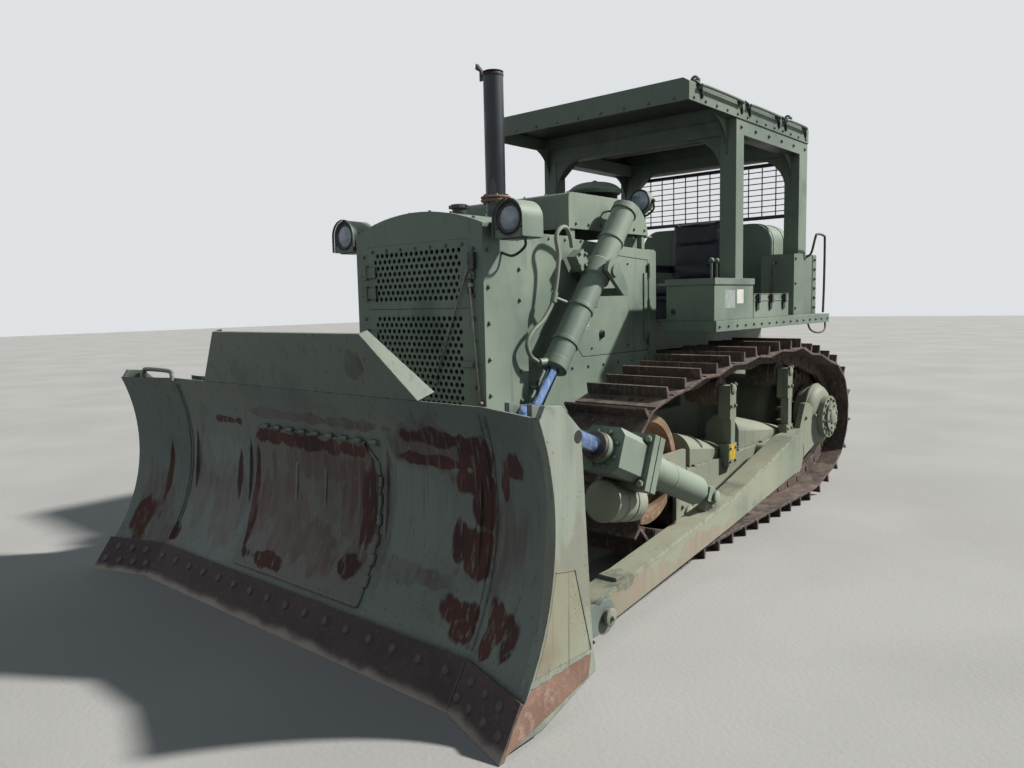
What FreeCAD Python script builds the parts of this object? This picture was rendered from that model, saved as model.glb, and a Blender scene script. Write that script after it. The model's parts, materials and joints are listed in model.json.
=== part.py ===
import FreeCAD
import Part

import math
import os
import re

from FreeCAD import Vector

# Crawler bulldozer with a semi-U blade and an open four-post canopy.
# Sizes are in millimetres. Forward is -Y, the machine's left is +X, +Z is up.
# Everything is laid out from the sprocket axle; the last step moves the whole
# machine along Y so that the middle of its box stands over the origin.

SIZES = (
    # name, value, what it is
    ("track_gauge", 1980, "between the middles of the tracks"),
    ("shoe_width", 560, "along X"),
    ("shoe_pitch", 203.2, "between track pins"),
    ("shoe_count", 39, "a side"),
    ("shoe_gap", 16, "between neighbouring shoe plates"),
    ("grouser_height", 66, "bar above the shoe plate"),
    ("grouser_root", 26, "bar at the plate"),
    ("grouser_tip", 16, "bar at its tip"),
    ("plate_thickness", 17, "shoe plate"),
    ("link_above", 45, "pin to the shoe plate"),
    ("link_below", 50, "pin to the rail face"),
    ("rail_offset", 95, "track middle to the middle of a rail"),
    ("rail_width", 44, "one rail of links"),
    ("chain_kink", 24, "every second pin of the top run stands out by this"),
    ("sprocket_radius", 405, "to the pins"),
    ("sprocket_height", 630, "axle above the ground"),
    ("sprocket_width", 62, "tooth width"),
    ("tooth_count", 25, "every second one takes a bushing"),
    ("idler_radius", 395, "to the pins"),
    ("idler_height", 630, "axle above the ground"),
    ("running_gap", 0.5, "rail to roller"),
    ("roller_radius", 100, "bottom roller tread"),
    ("roller_count", 6, "bottom rollers a side"),
    ("first_roller_reach", 2275, "axle of the first bottom roller ahead of the sprocket"),
    ("last_roller_reach", 510, "axle of the last one"),
    ("roller_length", 236, "over both treads"),
    ("roller_flange", 16, "flange above the tread"),
    ("roller_shaft", 34, "radius"),
    ("carrier_radius", 90, "carrier roller tread"),
    ("front_carrier_reach", 1735, "axle ahead of the sprocket"),
    ("rear_carrier_reach", 725, "axle ahead of the sprocket"),
    ("front_carrier_pins", 1150, "height of the pins over the front carrier"),
    ("rear_carrier_pins", 1190, "height of the pins over the rear carrier"),
    ("frame_half", 160, "track frame, half of its width"),
    ("frame_plate", 25, "its side plates"),
    ("fork_plate", 28, "idler fork"),
    ("frame_bottom", 250, "lower edge of its side plates"),
    ("frame_top", 560, "its top plate"),
    ("frame_front_reach", 2320, "front end ahead of the sprocket"),
    ("frame_rear_reach", 500, "rear end ahead of the sprocket"),
    ("frame_wing_front", 110, "its side plates reach past its front end"),
    ("frame_wing_rear", 150, "its side plates reach past its rear end"),
    ("front_overrun", 130, "straight chain ahead of the first roller"),
    ("rear_overrun", 190, "straight chain behind the last roller"),
    ("hub_reach", 1285, "middle of the machine to the face of the hub cap"),
    ("hub_radius", 268, "housing outside of the sprocket"),
    ("hub_start", 55, "track middle to the housing's inner rim"),
    ("stand_clear", 5, "carrier stand to the rail"),
    ("stand_outer", 210, "track middle to the outer side of a stand"),
    ("stand_depth", 92, "its head along Y"),
    ("cover_half", 130, "half width of the recoil covers"),
    ("hull_half", 400, "half of the hull's width"),
    ("belly_height", 350, "ground clearance"),
    ("belly_plate", 20, "its thickness"),
    ("rail_top", 780, "top of the engine rails"),
    ("rail_thick", 70, "engine rail"),
    ("case_front", 1000, "front of the transmission case ahead of the sprocket"),
    ("case_rear", 470, "rear face of the case behind the sprocket"),
    ("case_top", 1230, "its top"),
    ("final_radius", 330, "final drive case"),
    ("guard_front", 3510, "face of the radiator guard ahead of the sprocket"),
    ("guard_depth", 380, "guard front to back"),
    ("guard_half", 550, "half width"),
    ("guard_bottom", 620, "lower edge"),
    ("guard_shoulder", 2090, "height at its sides"),
    ("guard_crown", 2190, "height in the middle"),
    ("guard_wall", 14, "plate"),
    ("grille_half", 440, "half width of the grille"),
    ("grille_bottom", 850, "lower edge"),
    ("grille_split", 1620, "between its leaves"),
    ("grille_top", 2010, "upper edge"),
    ("grille_plate", 10, "thickness"),
    ("grille_hole", 15, "hole radius"),
    ("grille_rows", 14, "rows of holes in a metre"),
    ("hood_half", 500, "half width over the side panels"),
    ("hood_top", 2060, "top of the hood"),
    ("panel", 12, "sheet and door thickness"),
    ("panel_bottom", 780, "lower edge of the side panels"),
    ("dash_reach", 1560, "rear face of the dash ahead of the sprocket"),
    ("door_front", 2560, "lower front edge of the side door"),
    ("door_step", 2330, "upper front edge of the side door"),
    ("door_rear", "=dash_reach + 120", "hinge edge of the side door"),
    ("door_bottom", 1280, "its lower edge"),
    ("door_top", 1960, "its upper edge"),
    ("door_gap", 4, "round the side door"),
    ("cowl_front", "=guard_front - guard_depth - 490", "front of the raised cowl ahead of the sprocket"),
    ("cowl_rear", "=dash_reach + 110", "its rear"),
    ("cowl_bottom", 2110, "its lower edge"),
    ("cowl_top", 2340, "its top"),
    ("cowl_round", 260, "radius of its rear top edge"),
    ("stack_reach", "=cowl_front + 130", "exhaust stack ahead of the sprocket"),
    ("stack_side", 0, "exhaust stack to the right of the middle"),
    ("stack_radius", 66, "its outside"),
    ("stack_top", 3135, "its mouth"),
    ("cleaner_reach", "=dash_reach + 320", "precleaner ahead of the sprocket"),
    ("cleaner_radius", 195, "its dome"),
    ("cleaner_side", 180, "to the left of the middle"),
    ("lamp_side", 714, "middle of the machine to a headlamp"),
    ("lamp_reach", "=guard_front - 46", "lens ahead of the sprocket"),
    ("lamp_height", 2100, "lens middle"),
    ("lamp_radius", 92, "lens"),
    ("fender_half", 1080, "outer edge of the fenders"),
    ("fender_top", 1490, "their top"),
    ("fender_plate", 10, "sheet"),
    ("fender_skirt", 75, "turned-down edge"),
    ("fender_front", "=dash_reach + 190", "front edge ahead of the sprocket"),
    ("fender_rear", 470, "rear edge behind the sprocket"),
    ("fender_inner", 660, "inner edge of the fenders beside the side doors"),
    ("floor_half", 440, "half width of the foot well"),
    ("floor_top", 1260, "its floor"),
    ("box_inner", 690, "tool box, inner side"),
    ("box_outer", 1060, "tool box, outer side"),
    ("box_front", "=fender_front - 10", "tool box front ahead of the sprocket"),
    ("box_rear", 1110, "tool box rear"),
    ("box_height", 290, "tool box without its lid"),
    ("box_wall", 5, "sheet"),
    ("lid_depth", 45, "turned edge of the lid"),
    ("knuckle_radius", 7.5, "of the tool box's hinge"),
    ("knuckle_out", 16, "its axis inside of the tool box's inner side"),
    ("lid_hinge_height", "=fender_top + box_height - 39", "its axis"),
    ("seat_half", 270, "half width of the seat"),
    ("tank_half", 650, "half width of the fuel tank"),
    ("tank_front", 170, "its front behind the sprocket"),
    ("tank_depth", 430, "front to back"),
    ("tank_top", 2310, "its top"),
    ("tank_round", 170, "radius of its top corners"),
    ("post_outer", 907, "outer face of the canopy posts"),
    ("post_width", 130, "along X"),
    ("post_depth", 130, "along Y"),
    ("front_post", 1084, "front face of the front posts ahead of the sprocket"),
    ("rear_post", 165, "front face of the rear posts behind the sprocket"),
    ("rear_post_depth", 180, "rear posts along Y"),
    ("post_base_height", 520, "boxes under the rear posts"),
    ("roof_half", 915, "half width of the roof"),
    ("roof_front", 1830, "front edge ahead of the sprocket"),
    ("roof_rear", 345, "rear edge behind the sprocket"),
    ("roof_top", 3125, "its top"),
    ("roof_edge", 150, "height of its edge"),
    ("roof_sheet", 10, "its sheet"),
    ("beam_height", 110, "canopy's top beams"),
    ("lift_side", 640, "middle of the machine to a lift cylinder"),
    ("lift_reach", 2532, "cylinder trunnion ahead of the sprocket"),
    ("lift_height", 1830, "cylinder trunnion"),
    ("eye_reach", 3725, "rod eye ahead of the sprocket"),
    ("eye_height", 351, "rod eye"),
    ("barrel_radius", 80, "lift cylinder"),
    ("barrel_above", 540, "barrel above its trunnion"),
    ("barrel_below", 760, "barrel below it"),
    ("barrel_wall", 12, "tube"),
    ("rod_radius", 36, "lift rod"),
    ("rod_length", 1600, "from its eye"),
    ("trunnion_radius", 35, "pin of the cylinder's ring"),
    ("pin_clearance", 0.08, "between a pin and its bore"),
    ("arm_trunnion_reach", 1200, "push-arm ball ahead of the sprocket"),
    ("arm_trunnion_height", 515, "push-arm ball"),
    ("arm_ball", 62, "its radius"),
    ("arm_inner", 1300, "push arm, inner side"),
    ("arm_outer", 1440, "push arm, outer side"),
    ("arm_pin_reach", 3700, "its front pin ahead of the sprocket"),
    ("arm_pin_height", 136, "its front pin"),
    ("arm_pin_radius", 38, "its front pin"),
    ("arm_front_depth", 160, "arm at its front end"),
    ("arm_knee_reach", 2228, "bend of the arm"),
    ("arm_knee_top", 416, "its top at the bend"),
    ("arm_knee_depth", 175, "arm at the bend"),
    ("arm_rear_top", 655, "its top at the rear"),
    ("arm_rear_depth", 275, "arm at the rear"),
    ("blade_reach", 4650, "cutting edge ahead of the sprocket"),
    ("blade_half", 1333, "half width of the straight part"),
    ("wing_span", 412, "a wing, along X"),
    ("wing_lead", 143, "a wing's lead at its tip"),
    ("edge_height", 184, "cutting edge"),
    ("edge_lean", 128, "its top behind its bottom"),
    ("edge_thick", 25, "plate"),
    ("blade_height", 1218, "moldboard top"),
    ("moldboard_plate", 20, "its thickness"),
    ("end_plate", 25, "its end plates"),
    ("moldboard_mid", 700, "height of its deepest point"),
    ("moldboard_hollow", 348, "its deepest point behind the cutting edge"),
    ("moldboard_top_back", 263, "its top behind the cutting edge"),
    ("spill_top", 1517, "top of the spill guard"),
    ("spill_top_half", 652, "half width at its top"),
    ("spill_foot_half", 940, "half width at its foot"),
    ("spill_lean", 87, "its top ahead of its foot"),
    ("spill_flange", 110, "its side flanges"),
    ("blade_depth", 450, "cutting edge to the back of the blade's beams"),
    ("brace_side", 1370, "middle of the machine to a brace"),
    ("brace_front_height", 1140, "brace at the blade"),
    ("brace_rear_reach", 2450, "brace foot ahead of the sprocket"),
    ("brace_rear_height", 460, "brace foot"),
    ("brace_radius", 87, "tube"),
    ("brace_rod", 46, "rod"),
    ("tilt_flange", 290, "side of the tilt cylinder's square flanges"),
    ("hitch_reach", 800, "end of the drawbar behind the sprocket"),
    ("hitch_height", 455, "drawbar pin's jaw"),
    ("hitch_pin", 32, "bore radius"),
    ("seat_gap", 0.3, "between curved faces of two pieces"),
)

doc = FreeCAD.newDocument("Bulldozer")
sheet = doc.addObject("Spreadsheet::Sheet", "Sizes")
for row, (alias, value, note) in enumerate(SIZES, 1):
    sheet.set(f"A{row}", alias)
    sheet.set(f"B{row}", str(value))
    sheet.set(f"C{row}", note)
    sheet.setAlias(f"B{row}", alias)
doc.recompute()


class Named:
    """The sheet's values, read by name."""

    def __getattr__(self, alias):
        return float(sheet.get(alias))


S = Named()
ALIASES = {alias for alias, _, _ in SIZES}
nodes = []


def bind(thing, **sizes):
    """Tie a feature's sizes to the sheet."""
    for prop, text in sizes.items():
        name = prop.replace("__", ".")
        formula = re.sub(r"[a-z_]+", lambda word: "Sizes." + word[0] if word[0] in ALIASES else word[0], str(text))
        thing.setExpression(name, formula)


def place(thing, x, y, z):
    bind(thing, Placement__Base__x=x, Placement__Base__y=y, Placement__Base__z=z)
    return thing


def box(name, x, y, z, length, width, height):
    thing = doc.addObject("Part::Box", name)
    bind(thing, Length=length, Width=width, Height=height)
    return place(thing, x, y, z)


TURNS = {
    "x": FreeCAD.Rotation(Vector(0, 1, 0), 90),
    "y": FreeCAD.Rotation(Vector(1, 0, 0), -90),
    "z": FreeCAD.Rotation(),
}


def rod(name, axis, x, y, z, radius, length):
    """A round bar from (x, y, z) along +axis."""
    thing = doc.addObject("Part::Cylinder", name)
    bind(thing, Radius=radius, Height=length)
    thing.Placement = FreeCAD.Placement(Vector(), TURNS[axis])
    return place(thing, x, y, z)


def cone(name, axis, x, y, z, first, second, length):
    thing = doc.addObject("Part::Cone", name)
    bind(thing, Radius1=first, Radius2=second, Height=length)
    thing.Placement = FreeCAD.Placement(Vector(), TURNS[axis])
    return place(thing, x, y, z)


def outline(sketch, points):
    """A closed outline; a point given as a pair of points is the end of an arc through the first."""
    ends = [point[1] if isinstance(point[0], tuple) else point for point in points]
    for index, point in enumerate(points):
        start = Vector(*ends[index - 1], 0)
        end = Vector(*ends[index], 0)
        if isinstance(point[0], tuple):
            sketch.addGeometry(Part.Arc(start, Vector(*point[0], 0), end))
        else:
            sketch.addGeometry(Part.LineSegment(start, end))


def padded(name, plane, outlines, length, start="0"):
    """A plate or beam: outlines on a plane, padded by length from start along the plane's normal.

    YZ takes (y, z) and pads along +X, XZ takes (x, z) and pads along +Y, XY takes (x, y) and pads along +Z.
    """
    body = doc.addObject("PartDesign::Body", name)
    sketch = body.newObject("Sketcher::SketchObject", name + "_outline")
    wanted = next(item for item in body.Origin.OriginFeatures if item.Role == plane + "_Plane")
    sketch.AttachmentSupport = (wanted, [""])
    sketch.MapMode = "FlatFace"
    for points in outlines:
        outline(sketch, points)
    pad = body.newObject("PartDesign::Pad", name + "_pad")
    pad.Profile = sketch
    bind(pad, Length=length)
    if plane == "XZ":
        pad.Reversed = True
    sketch.Visibility = False
    offset = {"YZ": "x", "XZ": "y", "XY": "z"}[plane]
    bind(body, **{"Placement__Base__" + offset: start})
    return body


def turned(name, profile, axis, x, y, z):
    """A solid of revolution: profile of (along, radius) points, turned about the axis."""
    body = doc.addObject("PartDesign::Body", name)
    sketch = body.newObject("Sketcher::SketchObject", name + "_outline")
    wanted = next(item for item in body.Origin.OriginFeatures if item.Role == "XY_Plane")
    sketch.AttachmentSupport = (wanted, [""])
    sketch.MapMode = "FlatFace"
    outline(sketch, profile)
    spin = body.newObject("PartDesign::Revolution", name + "_turn")
    spin.Profile = sketch
    spin.ReferenceAxis = (sketch, ["H_Axis"])
    spin.Angle = 360
    turns = {
        "x": FreeCAD.Rotation(),
        "y": FreeCAD.Rotation(Vector(0, 0, 1), 90),
        "z": FreeCAD.Rotation(Vector(0, 1, 0), -90),
    }
    body.Placement = FreeCAD.Placement(Vector(), turns[axis])
    return place(body, x, y, z)


def fused(name, *things):
    thing = doc.addObject("Part::MultiFuse", name)
    thing.Shapes = list(things)
    return thing


def group(name, *things):
    """Solids that share a node and don't touch."""
    thing = doc.addObject("Part::Compound", name)
    thing.Links = list(things)
    return thing


def cut(name, base, *tools):
    thing = doc.addObject("Part::Cut", name)
    thing.Base = base
    thing.Tool = tools[0] if len(tools) == 1 else fused(name + "_tools", *tools)
    return thing


def mirrored(name, thing):
    """The same piece on the machine's right."""
    twin = doc.addObject("Part::Mirroring", name)
    twin.Source = thing
    twin.Normal = (1, 0, 0)
    return twin


def node(thing, label):
    thing.Label = label
    nodes.append(thing)
    return thing


def both_sides(thing, label):
    node(thing, label + "_left")
    node(mirrored(thing.Name + "_twin", thing), label + "_right")


def shaped(name, shape):
    thing = doc.addObject("Part::Feature", name)
    thing.Shape = shape
    return thing


def face_of(points, plane):
    """A face from an outline with arcs, on the YZ plane or the XZ plane."""
    if plane == "YZ":
        lift = lambda p: Vector(0, p[0], p[1])
    else:
        lift = lambda p: Vector(p[0], 0, p[1])
    ends = [point[1] if isinstance(point[0], tuple) else point for point in points]
    edges = []
    for index, point in enumerate(points):
        start = lift(ends[index - 1])
        end = lift(ends[index])
        if isinstance(point[0], tuple):
            edges.append(Part.Arc(start, lift(point[0]), end).toShape())
        else:
            edges.append(Part.LineSegment(start, end).toShape())
    return Part.Face(Part.Wire(edges))


# Tracks
# The pins lie on the chain's path: round the sprocket, over the two carrier rollers,
# round the idler and along the ground. The idler is moved until the chain closes.

GROUND_PINS = S.link_above + S.plate_thickness + S.grouser_height


def wrap(centre, radius, first, last):
    """Points on an arc by angle in degrees, counted from +Y towards +Z."""
    steps = max(int(abs(last - first) / 3), 2)
    angles = [math.radians(first + (last - first) * i / steps) for i in range(steps + 1)]
    return [(centre[0] + radius * math.cos(a), centre[1] + radius * math.sin(a)) for a in angles]


def tangent_angle(centre, radius, point, side):
    """Angle on a circle where the line from an outside point touches it."""
    dy = point[0] - centre[0]
    dz = point[1] - centre[1]
    away = math.hypot(dy, dz)
    return math.degrees(math.atan2(dz, dy)) + side * math.degrees(math.acos(radius / away))


def chain_path(idler_reach):
    sprocket = (0.0, S.sprocket_height)
    idler = (-idler_reach, S.idler_height)
    rear_carrier = (-S.rear_carrier_reach, S.rear_carrier_pins)
    front_carrier = (-S.front_carrier_reach, S.front_carrier_pins)
    last_roller = (-S.last_roller_reach + S.rear_overrun, GROUND_PINS)
    first_roller = (-S.first_roller_reach - S.front_overrun, GROUND_PINS)
    top_rear = tangent_angle(sprocket, S.sprocket_radius, rear_carrier, -1)
    low_rear = tangent_angle(sprocket, S.sprocket_radius, last_roller, 1)
    top_front = tangent_angle(idler, S.idler_radius, front_carrier, 1)
    low_front = tangent_angle(idler, S.idler_radius, first_roller, -1)
    path = wrap(sprocket, S.sprocket_radius, low_rear % 360 - 360, top_rear)
    path += [rear_carrier, front_carrier]
    path += wrap(idler, S.idler_radius, top_front, low_front % 360)
    path += [first_roller, last_roller]
    return path


def walk(path, pitch):
    """Pins one pitch apart along a closed path; returns them and what is left over."""
    pins = [path[0]]
    leg = 0
    here = path[0]
    target = path[1:] + [path[0]]
    while True:
        while leg < len(target) and math.dist(target[leg], pins[-1]) < pitch:
            here = target[leg]
            leg += 1
        if leg >= len(target):
            return pins, math.dist(pins[-1], path[0])
        start = here
        end = target[leg]
        low = 0.0
        high = 1.0
        for _ in range(40):
            mid = (low + high) / 2
            probe = (start[0] + (end[0] - start[0]) * mid, start[1] + (end[1] - start[1]) * mid)
            if math.dist(probe, pins[-1]) < pitch:
                low = mid
            else:
                high = mid
        here = probe
        pins.append(probe)


def idler_distance():
    """How far ahead the idler is slid until the chain's count of shoes closes."""
    low = 2200.0
    high = 3400.0
    for _ in range(50):
        mid = (low + high) / 2
        pins, left = walk(chain_path(mid), S.shoe_pitch)
        if (len(pins) - 1) + left / S.shoe_pitch < S.shoe_count:
            low = mid
        else:
            high = mid
    return low


IDLER_REACH = idler_distance()
PINS = walk(chain_path(IDLER_REACH), S.shoe_pitch)[0][:int(S.shoe_count)]


def kinked(pins):
    """Stiff joints: every second pin between the idler and the sprocket stands out of line."""
    result = []
    for index, (y, z) in enumerate(pins):
        free = -IDLER_REACH + 50 < y < -150 and z > S.sprocket_height
        result.append((y, z + (S.chain_kink if free and index % 2 else 0)))
    return result


def shoe_frame(a, b):
    along = ((b[0] - a[0]) / math.dist(a, b), (b[1] - a[1]) / math.dist(a, b))
    out = (along[1], -along[0])
    return along, out


def track_outline(pins):
    """Outer and inner outlines of the shoes, one loop with a slot between neighbours."""
    outer = []
    inner = []
    plate = S.link_above + S.plate_thickness
    slot = S.link_above + S.plate_thickness / 2
    foot = S.shoe_gap + 14
    taper = (S.grouser_root - S.grouser_tip) / 2
    for index, a in enumerate(pins):
        b = pins[(index + 1) % len(pins)]
        along, out = shoe_frame(a, b)
        length = math.dist(a, b)
        for run, rise in (
            (S.shoe_gap / 2, slot),
            (S.shoe_gap / 2, plate),
            (foot, plate),
            (foot + taper, plate + S.grouser_height),
            (foot + S.grouser_root - taper, plate + S.grouser_height),
            (foot + S.grouser_root, plate),
            (length - S.shoe_gap / 2, plate),
            (length - S.shoe_gap / 2, slot),
        ):
            outer.append((a[0] + along[0] * run + out[0] * rise, a[1] + along[1] * run + out[1] * rise))
        before = shoe_frame(pins[index - 1], a)[1]
        mid = (before[0] + out[0], before[1] + out[1])
        size = math.hypot(*mid)
        inner.append((a[0] + mid[0] / size * S.link_above, a[1] + mid[1] / size * S.link_above))
    return outer, inner


def offset_loop(pins, rise):
    loop = []
    for index, a in enumerate(pins):
        b = pins[(index + 1) % len(pins)]
        before = shoe_frame(pins[index - 1], a)[1]
        after = shoe_frame(a, b)[1]
        mid = (before[0] + after[0], before[1] + after[1])
        size = math.hypot(*mid)
        loop.append((a[0] + mid[0] / size * rise, a[1] + mid[1] / size * rise))
    return loop


def seat_height(reach, radius):
    """Highest axle at which a roller under the top run still clears the rails' lower faces."""
    rail = offset_loop(kinked(PINS), -S.link_below)
    low = S.sprocket_height
    high = S.sprocket_height + 2 * S.sprocket_radius
    for _ in range(40):
        mid = (low + high) / 2
        nearest = min(
            leg_distance((-reach, mid), rail[index - 1], rail[index])
            for index in range(len(rail)) if rail[index][1] > S.sprocket_height
        )
        below = all(
            mid < a[1] for a in rail if abs(a[0] + reach) < S.shoe_pitch and a[1] > S.sprocket_height
        )
        if below and nearest > radius + S.running_gap:
            low = mid
        else:
            high = mid
    return low


def leg_distance(point, a, b):
    """Distance from a point to a straight piece of an outline."""
    run = (b[0] - a[0], b[1] - a[1])
    share = ((point[0] - a[0]) * run[0] + (point[1] - a[1]) * run[1]) / (run[0] ** 2 + run[1] ** 2)
    share = min(max(share, 0.0), 1.0)
    return math.dist(point, (a[0] + run[0] * share, a[1] + run[1] * share))


def ring(outer, inner, x, width):
    sheet_face = face_of(outer, "YZ").cut(face_of(inner, "YZ"))
    solid = sheet_face.extrude(Vector(width, 0, 0))
    solid.translate(Vector(x, 0, 0))
    return solid.Solids[0]


def build_track():
    pins = kinked(PINS)
    shoes, shoes_inner = track_outline(pins)
    middle = S.track_gauge / 2
    solid = ring(shoes, shoes_inner, middle - S.shoe_width / 2, S.shoe_width)
    rail_outer = offset_loop(pins, S.link_above + 2)
    rail_inner = offset_loop(pins, -S.link_below)
    rails = []
    for side in (-1, 1):
        x = middle + side * S.rail_offset - S.rail_width / 2
        rails.append(ring(rail_outer, rail_inner, x, S.rail_width))
    return shaped("track", solid.multiFuse(rails).Solids[0])


both_sides(build_track(), "track")

CARRIERS = [(alias, seat_height(getattr(S, alias), S.carrier_radius))
            for alias in ("front_carrier_reach", "rear_carrier_reach")]


def build_sprocket():
    points = []
    root = S.sprocket_radius - 38
    tip = S.sprocket_radius + 22
    step = 360 / S.tooth_count
    for index in range(int(S.tooth_count)):
        for share, radius in ((0.0, root), (0.30, root), (0.46, tip), (0.66, tip), (0.84, root)):
            angle = math.radians((index + share) * step)
            points.append((radius * math.cos(angle), S.sprocket_height + radius * math.sin(angle)))
    teeth = padded("sprocket_teeth", "YZ", [points], "sprocket_width", "track_gauge / 2 - sprocket_width / 2")
    hub = rod("sprocket_hub", "x", "track_gauge / 2 - 45", "0", "sprocket_height", "230", "90")
    shaft = rod("sprocket_shaft", "x", "track_gauge / 2 - 45", "0", "sprocket_height", "90", "frame_half + 45")
    both_sides(fused("sprocket", teeth, hub, shaft), "sprocket")


build_sprocket()


def build_idler():
    chord = math.sqrt(S.idler_radius ** 2 - (S.shoe_pitch / 2) ** 2)
    tread = chord - S.link_below - S.running_gap
    half = 118
    flange = S.rail_offset - S.rail_width / 2 - 4
    dish = 55
    hub = S.frame_half - S.fork_plate
    profile = [
        (-half, tread - 45), (-half, tread), (-flange, tread), (-flange, tread + 16), (flange, tread + 16),
        (flange, tread), (half, tread), (half, tread - 45), (dish, tread - 70), (dish, 120), (hub, 105),
        (hub, 0), (-hub, 0), (-hub, 105), (-dish, 120), (-dish, tread - 70),
    ]
    both_sides(turned("idler", profile, "x", "track_gauge / 2", str(-IDLER_REACH), "idler_height"), "idler")


build_idler()


RECOIL_COVERS = (
    # front and rear end ahead of the sprocket, rise above the frame's top at the front and at the rear
    (2200, 1740, 215, 95),
    (1470, 640, 250, 70),
)


def cover_wire(y, rise):
    """Section of a recoil cover: straight sides and an arched top."""
    left = S.track_gauge / 2 - S.cover_half
    right = S.track_gauge / 2 + S.cover_half
    foot = S.frame_top - 5
    shoulder = S.frame_top + rise * 0.55
    crown = Vector(S.track_gauge / 2, y, S.frame_top + rise)
    corners = [Vector(right, y, shoulder), Vector(right, y, foot), Vector(left, y, foot), Vector(left, y, shoulder)]
    edges = [Part.LineSegment(*pair).toShape() for pair in zip(corners, corners[1:])]
    edges.append(Part.Arc(corners[-1], crown, corners[0]).toShape())
    return Part.Wire(edges)


def build_track_frame():
    """Inverted-U beam over the rollers with the recoil housing, idler fork, stands and hub arm."""
    middle = S.track_gauge / 2
    half = S.frame_half
    top = S.frame_top
    wall = S.frame_plate
    bottom = S.frame_bottom
    inner_top = GROUND_PINS + S.link_below + 2 * S.roller_radius + S.roller_flange + 14
    channel = [
        (middle - half, bottom), (middle - half, top), (middle + half, top), (middle + half, bottom),
        (middle + half - wall, bottom), (middle + half - wall, inner_top),
        (middle - half + wall, inner_top), (middle - half + wall, bottom),
    ]
    beam = padded("frame_beam", "XZ", [channel], "frame_front_reach - frame_rear_reach", "-frame_front_reach")
    covers = []
    for index, (front, rear, high, low) in enumerate(RECOIL_COVERS):
        sections = [cover_wire(-front, high), cover_wire(-rear, low)]
        covers.append(shaped(f"recoil_cover_{index}", Part.makeLoft(sections, True, True)))
    forks = []
    for index, side in enumerate((-1, 1)):
        x = middle + (-half if side < 0 else half - S.fork_plate)
        forks.append(box(f"idler_fork_{index}", str(x), str(-IDLER_REACH - 110), "idler_height - 130", "fork_plate",
                         str(IDLER_REACH + 120 - S.frame_front_reach), "200"))
    stands = []
    rim = "rail_offset + rail_width / 2 + stand_clear"
    for index, (reach, axle) in enumerate(CARRIERS):
        for part, inner, depth, low, high in (
            ("head", rim, "stand_depth", axle - 190, axle + 40),
            ("neck", "frame_half - 10", "stand_depth * 0.7", top + 90, axle - 185),
            ("foot", "frame_half - 20", "stand_depth * 1.3", top - 60, top + 95),
        ):
            stands.append(box(f"stand_{part}_{index}", f"track_gauge / 2 + {inner}", f"-{reach} - {depth} / 2",
                              str(low), f"stand_outer - ({inner})", depth, str(high - low)))
    wings = []
    for index, side in enumerate((-1, 1)):
        x = middle + (-half if side < 0 else half - wall)
        wings.append(box(f"frame_wing_{index}", str(x), "-frame_front_reach - frame_wing_front", "frame_bottom",
                         "frame_plate", "frame_front_reach - frame_rear_reach + frame_wing_front + frame_wing_rear",
                         "frame_top - frame_bottom"))
    hub_arm = padded("hub_arm", "YZ", [[
        (-S.frame_rear_reach - 500, bottom + 60), (-S.frame_rear_reach - 500, top),
        (-S.frame_rear_reach, top + 30), (-390, S.sprocket_height + 150), (-300, S.sprocket_height + 145),
        (-60, S.sprocket_height), (-60, S.sprocket_height - 190), (-S.frame_rear_reach, bottom + 60),
    ]], "45", "track_gauge / 2 + frame_half")
    reach = S.hub_reach - S.track_gauge / 2 - S.hub_start
    shaft_end = S.frame_half - S.hub_start
    hollow = 95
    hub = turned("hub_housing", [
        (0, hollow), (0, S.hub_radius - 10), (reach - 145, S.hub_radius),
        ((reach - 100, S.hub_radius - 26), (reach - 78, S.hub_radius - 66)), (reach - 70, S.hub_radius - 92),
        (reach - 23, S.hub_radius - 92), (reach - 23, 118), (reach, 118), (reach, 0), (shaft_end, 0),
        (shaft_end, hollow),
    ], "x", "track_gauge / 2 + hub_start", "0", "sprocket_height")
    trunnion = rod("arm_trunnion", "x", "track_gauge / 2 + frame_half - 10", "-arm_trunnion_reach",
                   "arm_trunnion_height", "52", "arm_inner - track_gauge / 2 - frame_half + 80")
    ball = doc.addObject("Part::Sphere", "arm_ball_left")
    bind(ball, Radius="arm_ball")
    place(ball, "(arm_inner + arm_outer) / 2", "-arm_trunnion_reach", "arm_trunnion_height")
    frame = fused("track_frame", beam, *wings, *covers, *forks, *stands, hub_arm, hub, trunnion, ball)
    both_sides(frame, "track_frame")


build_track_frame()


def roller(name, reach, height, radius, length):
    flange = S.rail_offset - S.rail_width / 2 - 4
    tread = rod(name + "_tread", "x", f"track_gauge / 2 - {length / 2}", f"-({reach})", str(height),
                str(radius), str(length))
    rim = rod(name + "_flange", "x", f"track_gauge / 2 - {flange}", f"-({reach})", str(height),
              f"{radius} + roller_flange", str(2 * flange))
    return tread, rim


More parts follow.
